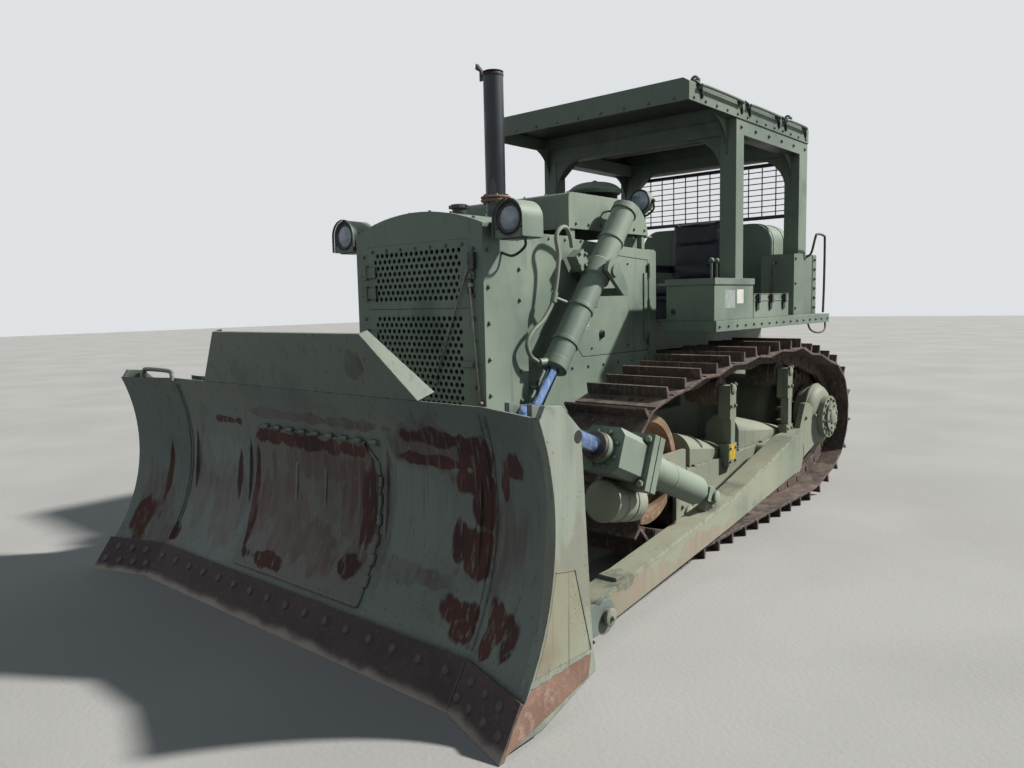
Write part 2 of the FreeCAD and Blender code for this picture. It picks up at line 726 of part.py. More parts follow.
def build_rollers():
    pieces = []
    count = int(S.roller_count)
    height = GROUND_PINS + S.link_below + S.running_gap + S.roller_radius
    for index in range(count):
        share = index / (count - 1)
        reach = f"first_roller_reach + (last_roller_reach - first_roller_reach) * {share}"
        tread, rim = roller(f"roller_{index}", reach, height, S.roller_radius, S.roller_length)
        shaft = rod(f"roller_{index}_shaft", "x", "track_gauge / 2 - frame_half + frame_plate",
                    f"-({reach})", str(height), "roller_shaft", "2 * frame_half - 2 * frame_plate")
        pieces.append(fused(f"roller_{index}_whole", tread, rim, shaft))
    for index, (reach, axle) in enumerate(CARRIERS):
        tread, rim = roller(f"carrier_{index}", reach, axle, S.carrier_radius, S.roller_length)
        shaft = rod(f"carrier_{index}_shaft", "x", "track_gauge / 2", f"-{reach}", str(axle), "roller_shaft",
                    "rail_offset + rail_width / 2 + stand_clear")
        pieces.append(fused(f"carrier_{index}_whole", tread, rim, shaft))
    both_sides(group("rollers", *pieces), "rollers")


build_rollers()

# Hull


def build_hull():
    belly = box("belly", "-hull_half", "-guard_front + 130", "belly_height", "2 * hull_half",
                "guard_front - 130 - case_front", "belly_plate")
    rails = []
    for index, x in enumerate(("-hull_half", "hull_half - rail_thick")):
        rails.append(box(f"engine_rail_{index}", x, "-guard_front + 130", "belly_height", "rail_thick",
                         "guard_front - 130 - case_front", "rail_top - belly_height"))
    rear = S.case_rear
    front = -S.case_front
    low = S.belly_height
    top = S.case_top
    side = [
        (front, low), (front, top), (rear - 120, top), ((rear - 35, top - 35), (rear, top - 120)),
        (rear, low + 120), (rear - 120, low),
    ]
    case = padded("transmission_case", "YZ", [side], "2 * hull_half", "-hull_half")
    crossbar = box("equalizer_bar", "-(track_gauge / 2 - frame_half)", "-2060", "rail_top - 230",
                   "track_gauge - 2 * frame_half", "120", "110")
    pivot = rod("pivot_shaft", "x", "-(track_gauge / 2 - frame_half)", "-560", "420", "62",
                "track_gauge - 2 * frame_half")
    drive = turned("final_drive", [
        (0, 0), (0, S.final_radius), (330, S.final_radius), ((400, S.final_radius - 25), (430, S.final_radius - 90)),
        (480, 170), (S.track_gauge / 2 - S.hull_half - 45.0, 170), (S.track_gauge / 2 - S.hull_half - 45.0, 0),
    ], "x", "hull_half", "0", "sprocket_height")
    far_drive = mirrored("final_drive_right", drive)
    bolster = box("guard_bolster", "-(guard_half - guard_wall)", "-guard_front + 130", "guard_bottom + 20",
                  "2 * (guard_half - guard_wall)", "60", "rail_top - guard_bottom - 20")
    ledges = []
    for index, x in enumerate(("-hood_half", "hull_half - 1")):
        ledges.append(box(f"panel_ledge_{index}", x, "-guard_front + guard_depth", "rail_top - 10",
                          "hood_half - hull_half + 1", "guard_front - guard_depth - dash_reach", "10"))
    node(fused("hull", belly, *rails, case, bolster, *ledges, crossbar, pivot, drive, far_drive), "main_frame")
    node(box("engine_block", "-(hull_half - rail_thick)", "-3000", "rail_top - 120", "2 * (hull_half - rail_thick)",
             "1250", "1040"), "engine_block")
    node(box("radiator_core", "-grille_half", "-guard_front + 160", "rail_top", "2 * grille_half", "110",
             "guard_shoulder - rail_top - 40"), "radiator_core")
    jaw = S.hitch_height
    rear_face = S.case_rear
    bar = box("drawbar_stem", "-70", "case_rear", "hitch_height - 75", "140", "hitch_reach - case_rear - 100", "150")
    lugs = []
    for index, z in enumerate((jaw - 75, jaw + 35)):
        end = S.hitch_reach
        lug = padded(f"drawbar_lug_{index}", "XY", [[
            (-70, rear_face + 150), (70, rear_face + 150), (70, end - 70), ((0, end), (-70, end - 70)),
        ]], "40", str(z))
        lugs.append(lug)
    bore = rod("drawbar_bore", "z", "0", "hitch_reach - 70", str(jaw - 90), "hitch_pin", "180")
    solid_bar = fused("drawbar_solid", bar, *lugs)
    slot = box("drawbar_slot", "-80", "hitch_reach - 160", str(jaw - 35), "160", "170", "70")
    node(cut("drawbar", solid_bar, bore, slot), "drawbar")


build_hull()

# Radiator guard and grille


def build_guard():
    half = S.guard_half
    low = S.guard_bottom
    shoulder = S.guard_shoulder
    crown = S.guard_crown
    wall = S.guard_wall
    shell = padded("guard_outer", "XZ", [[
        (-half, low), (-half, shoulder), ((0, crown), (half, shoulder)), (half, low),
    ]], "guard_depth", "-guard_front")
    hollow = padded("guard_hollow", "XZ", [[
        (-half + wall, low - 10), (-half + wall, shoulder - wall), ((0, crown - wall), (half - wall, shoulder - wall)),
        (half - wall, low - 10),
    ]], "guard_depth", "-guard_front + 20")
    mouth = box("guard_mouth", "-grille_half", "-guard_front - 20", "grille_bottom", "2 * grille_half", "80",
                "grille_top - grille_bottom")
    rear_frame = padded("guard_rear_frame", "XZ", [[
        (-half + 5, low), (-half + 5, shoulder - 5), ((0, crown - 5), (half - 5, shoulder - 5)), (half - 5, low),
        (half - 60, low), (half - 60, S.hood_top - 60), (-half + 60, S.hood_top - 60), (-half + 60, low),
    ]], "10", "-guard_front + guard_depth - 10")
    node(fused("radiator_guard", cut("guard_open", shell, hollow, mouth), rear_frame), "radiator_guard")


build_guard()


def build_grille(name, low, high):
    """A perforated leaf: staggered round holes in rows."""
    margin = 45
    pitch = 1000 / S.grille_rows * 0.62
    half = S.grille_half
    holes = []
    rows = int((high - low - 2 * margin) / (pitch * 0.866))
    columns = int((2 * half - 2 * margin) / pitch)
    for row in range(rows + 1):
        z = (low + high) / 2 + (row - rows / 2) * pitch * 0.866
        shift = 0.25 if row % 2 else -0.25
        for column in range(columns):
            x = (column - (columns - 1) / 2 + shift) * pitch
            corners = [Vector(x + S.grille_hole * math.cos(math.radians(60 * k)), -S.guard_front - 1,
                              z + S.grille_hole * math.sin(math.radians(60 * k))) for k in range(7)]
            holes.append(Part.Face(Part.makePolygon(corners)))
    corners = [(-half, low), (half, low), (half, high), (-half, high), (-half, low)]
    face = Part.Face(Part.makePolygon([Vector(x, -S.guard_front, z) for x, z in corners]))
    wires = []
    for hole in holes:
        moved = hole.copy()
        moved.translate(Vector(0, 1, 0))
        wires.append(moved.OuterWire)
    pierced = Part.makeFace([face.OuterWire] + wires, "Part::FaceMakerBullseye")
    return shaped(name, pierced.extrude(Vector(0, S.grille_plate, 0)).Solids[0])


node(group("grille", build_grille("grille_upper", S.grille_split + 1, S.grille_top),
           build_grille("grille_lower", S.grille_bottom, S.grille_split - 1)), "grille")

# Hood, side panels, doors and cowl


def door_outline(grow):
    """Side door in (y, z); its front edge steps round the lift cylinder's bracket."""
    front = -S.door_front - grow
    step = -S.door_step - grow
    rear = -S.door_rear + grow
    low = S.door_bottom - grow
    top = S.door_top + grow
    return [
        (front + 60, low), (rear, low), (rear, top - 30), (step + 95, top), (step, top - 115), (step, 1600 + grow),
        (front, 1580 + grow), (front, low + 60),
    ]


def cowl_section(front, low, high, turn, radius):
    """Closed (y, z) outline with a rounded front corner and a large round at the rear."""
    slant = radius * math.sqrt(0.5)
    reach = math.sqrt(radius ** 2 - (low - turn[1]) ** 2)
    return [
        (front, low), (front, high - 40), ((front + 12, high - 12), (front + 40, high)), (turn[0], high),
        ((turn[0] + slant, turn[1] + slant), (turn[0] + reach, low)),
    ]


def build_hood():
    side = [
        (-S.guard_front + S.guard_depth, S.panel_bottom), (-S.dash_reach, S.panel_bottom),
        (-S.dash_reach, S.hood_top - 60), (-S.cowl_front, S.hood_top - 12),
        (-S.guard_front + S.guard_depth, S.hood_top - 12),
    ]
    wall = padded("side_wall", "YZ", [side], "panel", "hood_half - panel")
    opening = padded("side_opening", "YZ", [door_outline(S.door_gap)], "panel + 20", "hood_half - panel - 10")
    panel = cut("side_panel", wall, opening)
    far_panel = mirrored("side_panel_right", panel)
    sheet_part = padded("side_door_sheet", "YZ", [door_outline(0)], "panel", "hood_half - panel")
    hinge = rod("side_door_knuckle", "z", "hood_half + 9", "-door_rear", "door_bottom + 80", "9",
                "door_top - door_bottom - 200")
    strap = box("side_door_strap", "hood_half - panel", "-door_rear - 60", "door_bottom + 80", "panel + 9", "60",
                "door_top - door_bottom - 200")
    both_sides(fused("side_door", sheet_part, hinge, strap), "side_door")
    top = padded("hood_sheet", "XZ", [[
        (-S.hood_half, S.hood_top - 12), (-S.hood_half, S.hood_top), (S.hood_half, S.hood_top),
        (S.hood_half, S.hood_top - 12),
    ]], "guard_front - guard_depth - cowl_front", "-guard_front + guard_depth")
    deck = box("hood_deck", "-(hood_half - panel)", "-cowl_front", "hood_top - 60", "2 * (hood_half - panel)",
               "cowl_front - dash_reach - panel", "panel")
    riser = box("hood_riser", "-(hood_half - panel)", "-cowl_front", "hood_top - 60", "2 * (hood_half - panel)",
                "panel", "60")
    dash = box("dash", "-(hood_half - panel)", "-dash_reach - panel", "floor_top + 15", "2 * (hood_half - panel)",
               "panel", "hood_top - 60 - floor_top - 15 + panel")
    node(fused("hood", top, deck, riser, panel, far_panel, dash), "hood")
    front = -S.cowl_front
    rear = -S.cowl_rear
    low = S.cowl_bottom
    high = S.cowl_top
    bend = S.cowl_round
    turn = (rear - bend, high - bend)
    shell = padded("cowl_shell", "YZ", [cowl_section(front, low, high, turn, bend)], "2 * hood_half", "-hood_half")
    hollow = padded("cowl_hollow", "YZ", [
        cowl_section(front + S.panel, low - 10, high - S.panel, turn, bend - S.panel),
    ], "2 * (hood_half - panel)", "-(hood_half - panel)")
    legs = []
    for index, (x, y) in enumerate((("-hood_half + panel", -2600), ("hood_half - panel - 40", -2600),
                                    ("-hood_half + panel", -1740), ("hood_half - panel - 40", -1740))):
        legs.append(box(f"cowl_leg_{index}", x, str(y), "hood_top - 48", "40", "40", "cowl_bottom - hood_top + 90"))
    collar = rod("cleaner_collar", "z", "cleaner_side", "-cleaner_reach", "cowl_top - 60", "105", "65")
    node(fused("cowl_whole", cut("cowl_open", shell, hollow), collar, *legs), "cowl")
    cleaner = turned("precleaner", [
        (0, 0), (0, 95), (70, 95), (70, S.cleaner_radius - 12), (88, S.cleaner_radius), (105, S.cleaner_radius - 6),
        ((140, S.cleaner_radius * 0.72), (154, S.cleaner_radius * 0.30)), (155, 0),
    ], "z", "cleaner_side", "-cleaner_reach", "cowl_top + 5")
    node(cleaner, "precleaner")


build_hood()


def build_stack():
    """Plain pipe with a hinged rain cap; the cap's counterweight stands up on the right-hand side."""
    pipe = rod("stack_pipe", "z", "-stack_side", "-stack_reach", "hood_top", "stack_radius", "stack_top - hood_top")
    bore = rod("stack_bore", "z", "-stack_side", "-stack_reach", "hood_top + 300", "stack_radius - 6",
               "stack_top - hood_top")
    flange = rod("stack_flange", "z", "-stack_side", "-stack_reach", "hood_top", "stack_radius + 30", "20")
    mouth = S.stack_top
    wall = -S.stack_side - S.stack_radius
    ear = [
        (wall - 24, mouth - 40), (wall - 24, mouth + 20), (wall - 6, mouth + 20), (wall - 6, mouth - 3),
        (wall + 12, mouth - 3), (wall + 12, mouth - 40),
    ]
    ears = [padded(f"stack_ear_{index}", "XZ", [ear], "8", y)
            for index, y in enumerate(("-stack_reach - 34", "-stack_reach + 26"))]
    pin = rod("stack_ear_pin", "y", "-stack_side - stack_radius - 15", "-stack_reach - 34", "stack_top + 9", "4", "68")
    node(fused("exhaust_stack", cut("stack_tube", fused("stack_solid", pipe, flange), bore), pin, *ears),
         "exhaust_stack")
    hinge = wall - 15
    lid = rod("rain_lid", "z", "-stack_side", "-stack_reach", "stack_top + 6", "stack_radius + 2", "5")
    knuckle = rod("rain_knuckle", "y", str(hinge), "-stack_reach - 25", "stack_top + 9", "8", "50")
    arm = padded("rain_arm", "XZ", [[
        (hinge + 60, mouth + 6), (hinge + 60, mouth + 11), (hinge + 4, mouth + 15), (hinge - 58, mouth + 88),
        (hinge - 62, mouth + 50), (hinge - 34, mouth + 34), (hinge, mouth + 6),
    ]], "30", "-stack_reach - 15")
    pin_bore = rod("rain_bore", "y", str(hinge), "-stack_reach - 40", "stack_top + 9", "4 + pin_clearance", "80")
    node(cut("rain_cap", fused("rain_solid", lid, knuckle, arm), pin_bore), "rain_cap")


build_stack()


def build_lamps():
    """Round lamps in hooded housings on short brackets at the guard's shoulders."""
    r = S.lamp_radius
    z = S.lamp_height
    x = S.lamp_side
    hood = padded("lamp_hood", "XZ", [[
        (x - r - 12, z - r - 10), (x - r - 12, z), ((x, z + r + 12), (x + r + 12, z)), (x + r + 12, z - r - 10),
    ]], "170", "-lamp_reach - 12")
    well = rod("lamp_well", "y", "lamp_side", "-lamp_reach - 30", "lamp_height", "lamp_radius - 2", "60")
    lens = turned("lamp_lens", [(0, 0), (0, r - 1), (22, r - 1), (22, 0)], "y", "lamp_side", "-lamp_reach",
                  "lamp_height")
    bracket = box("lamp_bracket", "guard_half", "-lamp_reach + 40", "lamp_height - 60",
                  "lamp_side - lamp_radius - guard_half - 8", "90", "80")
    both_sides(fused("headlamp", cut("lamp_housing", hood, well), lens, bracket), "headlamp")
    can = turned("work_can", [
        (0, 0), (0, 80), (12, 84), (60, 80), ((100, 55), (115, 20)), (115, 0),
    ], "y", "hood_half - 50", "-cowl_rear - 30", "cowl_top + 20")
    stem = rod("work_stem", "z", "hood_half - 50", "-cowl_rear + 30", "cowl_bottom - 6", "12",
               "cowl_top - cowl_bottom - 30")
    foot = box("work_foot", "hood_half - 100", "-cowl_rear - 25", "cowl_bottom - 12", "100", "80", "12")
    node(fused("work_lamp", can, stem, foot), "work_lamp")


build_lamps()

# Operator's platform


def build_platform():
    t = S.fender_plate
    out = S.fender_half
    top = S.fender_top
    well = S.floor_half
    floor = S.floor_top
    skirt = S.fender_skirt
    section = [
        (-out, top - skirt), (-out, top), (-well, top), (-well, floor + t), (well, floor + t), (well, top), (out, top),
        (out, top - skirt), (out - t, top - skirt), (out - t, top - t), (well + t, top - t), (well + t, floor),
        (-well - t, floor), (-well - t, top - t), (-out + t, top - t), (-out + t, top - skirt),
    ]
    deck = padded("deck", "XZ", [section], "fender_front + fender_rear - fender_plate", "-fender_front + fender_plate")
    notch = box("deck_notch", "-fender_inner", "-fender_front", "floor_top - 10", "2 * fender_inner",
                "fender_front - dash_reach", "fender_top - floor_top + 20")
    lips = []
    for index, x in enumerate(("-fender_half", "fender_inner")):
        lips.append(box(f"fender_lip_{index}", x, "-fender_front", "fender_top - fender_skirt",
                        "fender_half - fender_inner", "fender_plate", "fender_skirt"))
    pads = []
    for index, (x, y) in enumerate(((-300, -900), (200, -900), (-300, 200), (200, 200))):
        pads.append(box(f"platform_mount_{index}", str(x), str(y), "case_top", "100", "100", "floor_top - case_top"))
    node(fused("platform", cut("deck_open", deck, notch), *lips, *pads), "platform")
    shell = box("toolbox_shell", "box_inner", "-box_front", "fender_top", "box_outer - box_inner",
                "box_front - box_rear", "box_height")
    inside = box("toolbox_inside", "box_inner + box_wall", "-box_front + box_wall", "fender_top + box_wall",
                 "box_outer - box_inner - 2 * box_wall", "box_front - box_rear - 2 * box_wall", "box_height")
    knuckles = []
    for index, y in enumerate(("-box_front + 40", "-box_rear - 120")):
        knuckles.append(rod(f"box_knuckle_{index}", "y", "box_inner - knuckle_out", y, "lid_hinge_height",
                            "knuckle_radius", "80"))
        knuckles.append(box(f"box_leaf_{index}", "box_inner - knuckle_out", y, "lid_hinge_height - 26",
                            "knuckle_out + 2", "80", "20"))
    node(fused("toolbox_whole", cut("toolbox_open", shell, inside), *knuckles), "toolbox")
    lid = box("lid_outer", "box_inner - 8", "-box_front - 8", "fender_top + box_height - lid_depth + 5",
              "box_outer - box_inner + 16", "box_front - box_rear + 16", "lid_depth")
    lid_in = box("lid_inner", "box_inner - 3", "-box_front - 3", "fender_top + box_height - lid_depth",
                 "box_outer - box_inner + 6", "box_front - box_rear + 6", "lid_depth")
    turn = rod("lid_knuckle", "y", "box_inner - knuckle_out", "-box_front + 122", "lid_hinge_height",
               "knuckle_radius", "box_front - box_rear - 244")
    leaf = box("lid_leaf", "box_inner - knuckle_out", "-box_front + 122", "lid_hinge_height",
               "knuckle_out - 6", "box_front - box_rear - 244", "knuckle_radius")
    node(fused("lid_whole", cut("lid_open", lid, lid_in), turn, leaf), "toolbox_lid")
    node(box("battery_box", "post_outer + 18", "-box_rear + 10", "fender_top", "box_outer - post_outer - 18", "670", "180"),
         "battery_box")
    tank = box("oil_tank_body", "-box_outer", "-box_front", "fender_top", "box_outer - box_inner",
               "box_front - box_rear", "box_height + 40")
    cap = rod("oil_tank_cap", "z", "-(box_outer + box_inner) / 2", "-box_front + 150", "fender_top + box_height + 40",
              "45", "35")
    node(fused("oil_tank", tank, cap), "oil_tank")
    well_in = S.tank_half
    low = S.fender_top
    bend = S.tank_round
    high = S.tank_top
    fuel = padded("fuel_tank_body", "XZ", [[
        (-well_in, low), (-well_in, high - bend),
        ((-well_in + bend * 0.293, high - bend * 0.293), (-well_in + bend, high)),
        (well_in - bend, high), ((well_in - bend * 0.293, high - bend * 0.293), (well_in, high - bend)), (well_in, low),
    ]], "tank_depth", "tank_front")
    neck = rod("fuel_neck", "z", "-tank_half / 2", "tank_front + tank_depth / 2", "tank_top - 5", "55", "45")
    node(fused("fuel_tank", fuel, neck), "fuel_tank")
    base = box("seat_base_box", "-seat_half + 40", "-430", "floor_top + fender_plate", "2 * seat_half - 80", "520",
               "1640 - floor_top - fender_plate")
    pan = box("seat_pan", "-seat_half", "-470", "1640", "2 * seat_half", "600", "20")
    back = box("seat_back_plate", "-seat_half", "130", "1640", "2 * seat_half", "20", "690")
    arms = []
    for index, x in enumerate(("-seat_half - 70", "seat_half + 10")):
        arms.append(box(f"armrest_bar_{index}", x, "-330", "1900", "60", "480", "30"))
    rest_left = box("armrest_tie_0", "-seat_half - 20", "110", "1840", "20", "40", "90")
    rest_right = box("armrest_tie_1", "seat_half", "110", "1840", "20", "40", "90")
    node(fused("seat_frame", base, pan, back, rest_left, rest_right, *arms), "seat_frame")
    node(box("seat_cushion", "-seat_half + 6", "-464", "1660.3", "2 * seat_half - 12", "580", "125"), "seat_cushion")
    node(box("seat_back", "-seat_half + 6", "20", "1795", "2 * seat_half - 12", "109.7", "580"), "seat_back")
    console = box("console_box", "seat_half + 85", "-480", "floor_top + fender_plate", "70", "360",
                  "fender_top + 250 - floor_top - fender_plate")
    levers = []
    for index, y in enumerate((-440, -340, -240)):
        stick = rod(f"lever_{index}", "z", "seat_half + 120", str(y), "fender_top + 240", "9", "230")
        knob = doc.addObject("Part::Sphere", f"knob_{index}")
        bind(knob, Radius="24")
        place(knob, "seat_half + 120", str(y), "fender_top + 480")
        levers += [stick, knob]
    node(fused("control_console", console, *levers), "control_console")
    gear = rod("brake_lever", "z", "-200", "-1350", "floor_top + fender_plate", "11", "420")
    pedal_l = box("pedal_left", "-170", "-1400", "floor_top + fender_plate", "110", "90", "90")
    pedal_r = box("pedal_right", "60", "-1400", "floor_top + fender_plate", "110", "90", "90")
    gear_foot = box("lever_foot", "-235", "-1385", "floor_top + fender_plate", "60", "70", "40")
    node(group("foot_controls", fused("lever_whole", gear, gear_foot), pedal_l, pedal_r), "foot_controls")


build_platform()

# Canopy


def build_canopy():
    posts = []
    inner = "post_outer - post_width"
    under = "roof_top - roof_edge - beam_height"
    for side, x in (("left", inner), ("right", "-post_outer")):
        posts.append(box(f"front_post_{side}", x, "-front_post", "fender_top", "post_width", "post_depth",
                         under + " - fender_top"))
        posts.append(box(f"rear_post_{side}", x, "rear_post", "fender_top + post_base_height", "post_width",
                         "rear_post_depth", under + " - fender_top - post_base_height"))
        base_x = "tank_half + 15" if side == "left" else "-post_outer - 50"
        posts.append(box(f"post_base_{side}", base_x, "rear_post - 215", "fender_top",
                         "post_outer + 50 - tank_half - 15", "520", "post_base_height"))
        posts.append(box(f"front_foot_{side}", x + " - 10", "-front_post - 15", "fender_top", "post_width + 20",
                         "post_depth + 45", "16"))
        posts.append(box(f"side_beam_{side}", x, "-front_post", under, "post_width",
                         "front_post + rear_post + rear_post_depth", "beam_height"))
    for end, y, depth in (("front", "-front_post", "post_depth"), ("rear", "rear_post", "rear_post_depth")):
        posts.append(box(f"cross_beam_{end}", "-post_outer", y, under, "2 * post_outer", depth, "beam_height"))
    z = S.roof_top - S.roof_edge - S.beam_height
    for end, y in (("front", "-front_post + 20"), ("rear", "rear_post + 20")):
        a = S.post_outer - S.post_width
        corner = [(a + 10, z - 150), (a + 10, z + 20), (a - 170, z + 20), (a - 170, z), ]
        posts.append(padded(f"gusset_left_{end}", "XZ", [corner], "post_depth - 40", y))
        posts.append(padded(f"gusset_right_{end}", "XZ", [[(-px, pz) for px, pz in corner]], "post_depth - 40", y))
    node(fused("canopy_frame", *posts), "canopy_frame")
    half = S.roof_half
    top = S.roof_top
    edge = S.roof_edge
    pan = padded("roof_pan", "XZ", [[
        (-half, top - edge), (-half, top - 30), (-half + 45, top), (half - 45, top), (half, top - 30),
        (half, top - edge),
    ]], "roof_front + roof_rear", "-roof_front")
    inside = box("roof_inside", "-roof_half + roof_sheet", "-roof_front + roof_sheet", "roof_top - roof_edge - 10",
                 "2 * (roof_half - roof_sheet)", "roof_front + roof_rear - 2 * roof_sheet", "roof_edge - 40")
    ribs = []
    for index, y in enumerate(("-front_post + 5", "-400", "rear_post + 5")):
        ribs.append(box(f"roof_rib_{index}", "-roof_half + roof_sheet", y, "roof_top - roof_edge",
                        "2 * (roof_half - roof_sheet)", "80", "roof_edge - 45"))
    hooks = []
    for index, (x, y) in enumerate(((-820, -1500), (740, -1500), (-820, 200), (740, 200))):
        hooks.append(box(f"lifting_eye_{index}", str(x), str(y), "roof_top - 5", "80", "14", "75"))
    node(fused("roof", cut("roof_shell", pan, inside), *ribs, *hooks), "roof")
    frame_parts = []
    span = "2 * (post_outer - post_width)"
    left = "-(post_outer - post_width)"
    for index, z in enumerate(("fender_top + 860", "roof_top - roof_edge - beam_height - 50")):
        frame_parts.append(box(f"screen_bar_{index}", left, "rear_post + 125", z, span, "30", "30"))
    for index in range(13):
        x = f"{left} + ({span} - 8) * {index / 12}"
        frame_parts.append(box(f"screen_rod_{index}", x, "rear_post + 136", "fender_top + 870", "8", "8",
                               "roof_top - roof_edge - beam_height - 40 - fender_top - 870"))
    for index in range(1, 9):
        z = f"fender_top + 870 + (roof_top - roof_edge - beam_height - 910 - fender_top) * {index / 9}"
        frame_parts.append(box(f"screen_wire_{index}", left, "rear_post + 136", z, span, "8", "8"))
    node(fused("rear_screen", *frame_parts), "rear_screen")


build_canopy()

# Blade


def section_points(lead):
    """Moldboard in (y, z): a straight foot behind the cutting edge, then one arc to the top."""
    front = -S.blade_reach - lead
    slope = S.edge_lean / S.edge_height
    size = math.hypot(S.edge_lean, S.edge_height)
    back = (S.edge_height / size * S.edge_thick, -S.edge_lean / size * S.edge_thick)
    knee = (front + S.edge_lean + back[0], S.edge_height + back[1])
    foot = (knee[0] - (knee[1] - 25) * slope, 25)
    mid = (front + S.moldboard_hollow, S.moldboard_mid)
    top = (front + S.moldboard_top_back, S.blade_height)
    return foot, knee, mid, top


def circle_of(a, b, c):
    d = 2 * (a[0] * (b[1] - c[1]) + b[0] * (c[1] - a[1]) + c[0] * (a[1] - b[1]))
    sa = a[0] ** 2 + a[1] ** 2
    sb = b[0] ** 2 + b[1] ** 2
    sc = c[0] ** 2 + c[1] ** 2
    y = (sa * (b[1] - c[1]) + sb * (c[1] - a[1]) + sc * (a[1] - b[1])) / d
    z = (sa * (c[0] - b[0]) + sb * (a[0] - c[0]) + sc * (b[0] - a[0])) / d
    return (y, z), math.dist((y, z), a)


def face_y(z, lead, depth):
    """Y of the moldboard's hollow face at a height, moved back by depth."""
    foot, knee, mid, top = section_points(lead)
    centre, radius = circle_of(knee, mid, top)
    return centre[0] + math.sqrt((radius + depth) ** 2 - (z - centre[1]) ** 2)


def moldboard_wire(x, lead):
    foot, knee, mid, top = section_points(lead)
    t = S.moldboard_plate
    rear_knee = (face_y(knee[1] - 6, lead, t), knee[1] - 6)
    rear_foot = (foot[0] + t * 1.22, foot[1])
    rear_mid = (face_y(S.moldboard_mid, lead, t), S.moldboard_mid)
    rear_top = (face_y(S.blade_height - 2, lead, t), S.blade_height - 2)
    points = [foot, knee, (mid, top), rear_top, (rear_mid, rear_knee), rear_foot]
    ends = [point[1] if isinstance(point[0], tuple) else point for point in points]
    edges = []
    for index, point in enumerate(points):
        start = Vector(x, *ends[index - 1])
        end = Vector(x, *ends[index])
        if isinstance(point[0], tuple):
            edges.append(Part.Arc(start, Vector(x, *point[0]), end).toShape())
        else:
            edges.append(Part.LineSegment(start, end).toShape())
    return Part.Wire(edges)


def edge_polygon(x, lead):
    front = -S.blade_reach - lead
    slope = S.edge_lean / S.edge_height
    size = math.hypot(S.edge_lean, S.edge_height)
    back = (S.edge_height / size * S.edge_thick, -S.edge_lean / size * S.edge_thick)
    top = (front + S.edge_lean, S.edge_height)
    rear = (top[0] + back[0], top[1] + back[1])
    heel = (rear[0] - rear[1] * slope, 0)
    return Part.makePolygon([Vector(x, *p) for p in ((front, 0), top, rear, heel, (front, 0))])


def blade_brackets(blade_back):
    """Lugs on the blade's back: arm pins, brace pins and the lift rods' pins."""
    pieces = []
    back = blade_back - 4
    pin = (-S.arm_pin_reach, S.arm_pin_height)
    cheek = [
        (back, 60), (back, 330), (pin[0] - 60, pin[1] + 70), ((pin[0] + 75, pin[1]), (pin[0] - 60, pin[1] - 70)),
        (back + 60, 60),
    ]
    for index, x in enumerate(("arm_inner - 36", "arm_outer + 1")):
        pieces.append(padded(f"arm_cheek_{index}", "YZ", [cheek], "35", x))
    pieces.append(rod("arm_pin", "x", "arm_inner - 50", "-arm_pin_reach", "arm_pin_height", "arm_pin_radius",
                      "arm_outer - arm_inner + 100"))
    pieces.append(box("arm_bracket_pad", "arm_inner - 36", str(back - 30), "60", "arm_outer - arm_inner + 72", "40",
                      "270"))
    arm_bracket = fused("arm_bracket", *pieces)
    eye = (-S.eye_reach, S.eye_height)
    cheek = [
        (back, 160), (back, 440), (eye[0] - 40, eye[1] + 65), ((eye[0] + 70, eye[1]), (eye[0] - 40, eye[1] - 65)),
    ]
    lift = []
    for index, x in enumerate(("lift_side - 80", "lift_side + 45")):
        lift.append(padded(f"lift_cheek_{index}", "YZ", [cheek], "35", x))
    for index, x in enumerate(("lift_side - 105", "lift_side + 80")):
        lift.append(rod(f"lift_boss_{index}", "x", x, "-eye_reach", "eye_height", "52", "25"))
    lift_bracket = fused("lift_bracket", *lift)
    end = (blade_back + 100, S.brace_front_height)
    ear = [
        (back, end[1] - 75), (back, end[1] + 75), (end[0], end[1] + 55),
        ((end[0] + 55, end[1]), (end[0], end[1] - 55)),
    ]
    brace = []
    for index, x in enumerate(("brace_side - 76", "brace_side + 50")):
        brace.append(padded(f"brace_ear_{index}", "YZ", [ear], "26", x))
    brace.append(rod("brace_pin", "x", "brace_side - 78", str(end[0]), str(end[1]), "30", "156"))
    brace_bracket = fused("brace_bracket", *brace)
    left = [arm_bracket, lift_bracket, brace_bracket]
    return left + [mirrored(thing.Name + "_twin", thing) for thing in left]


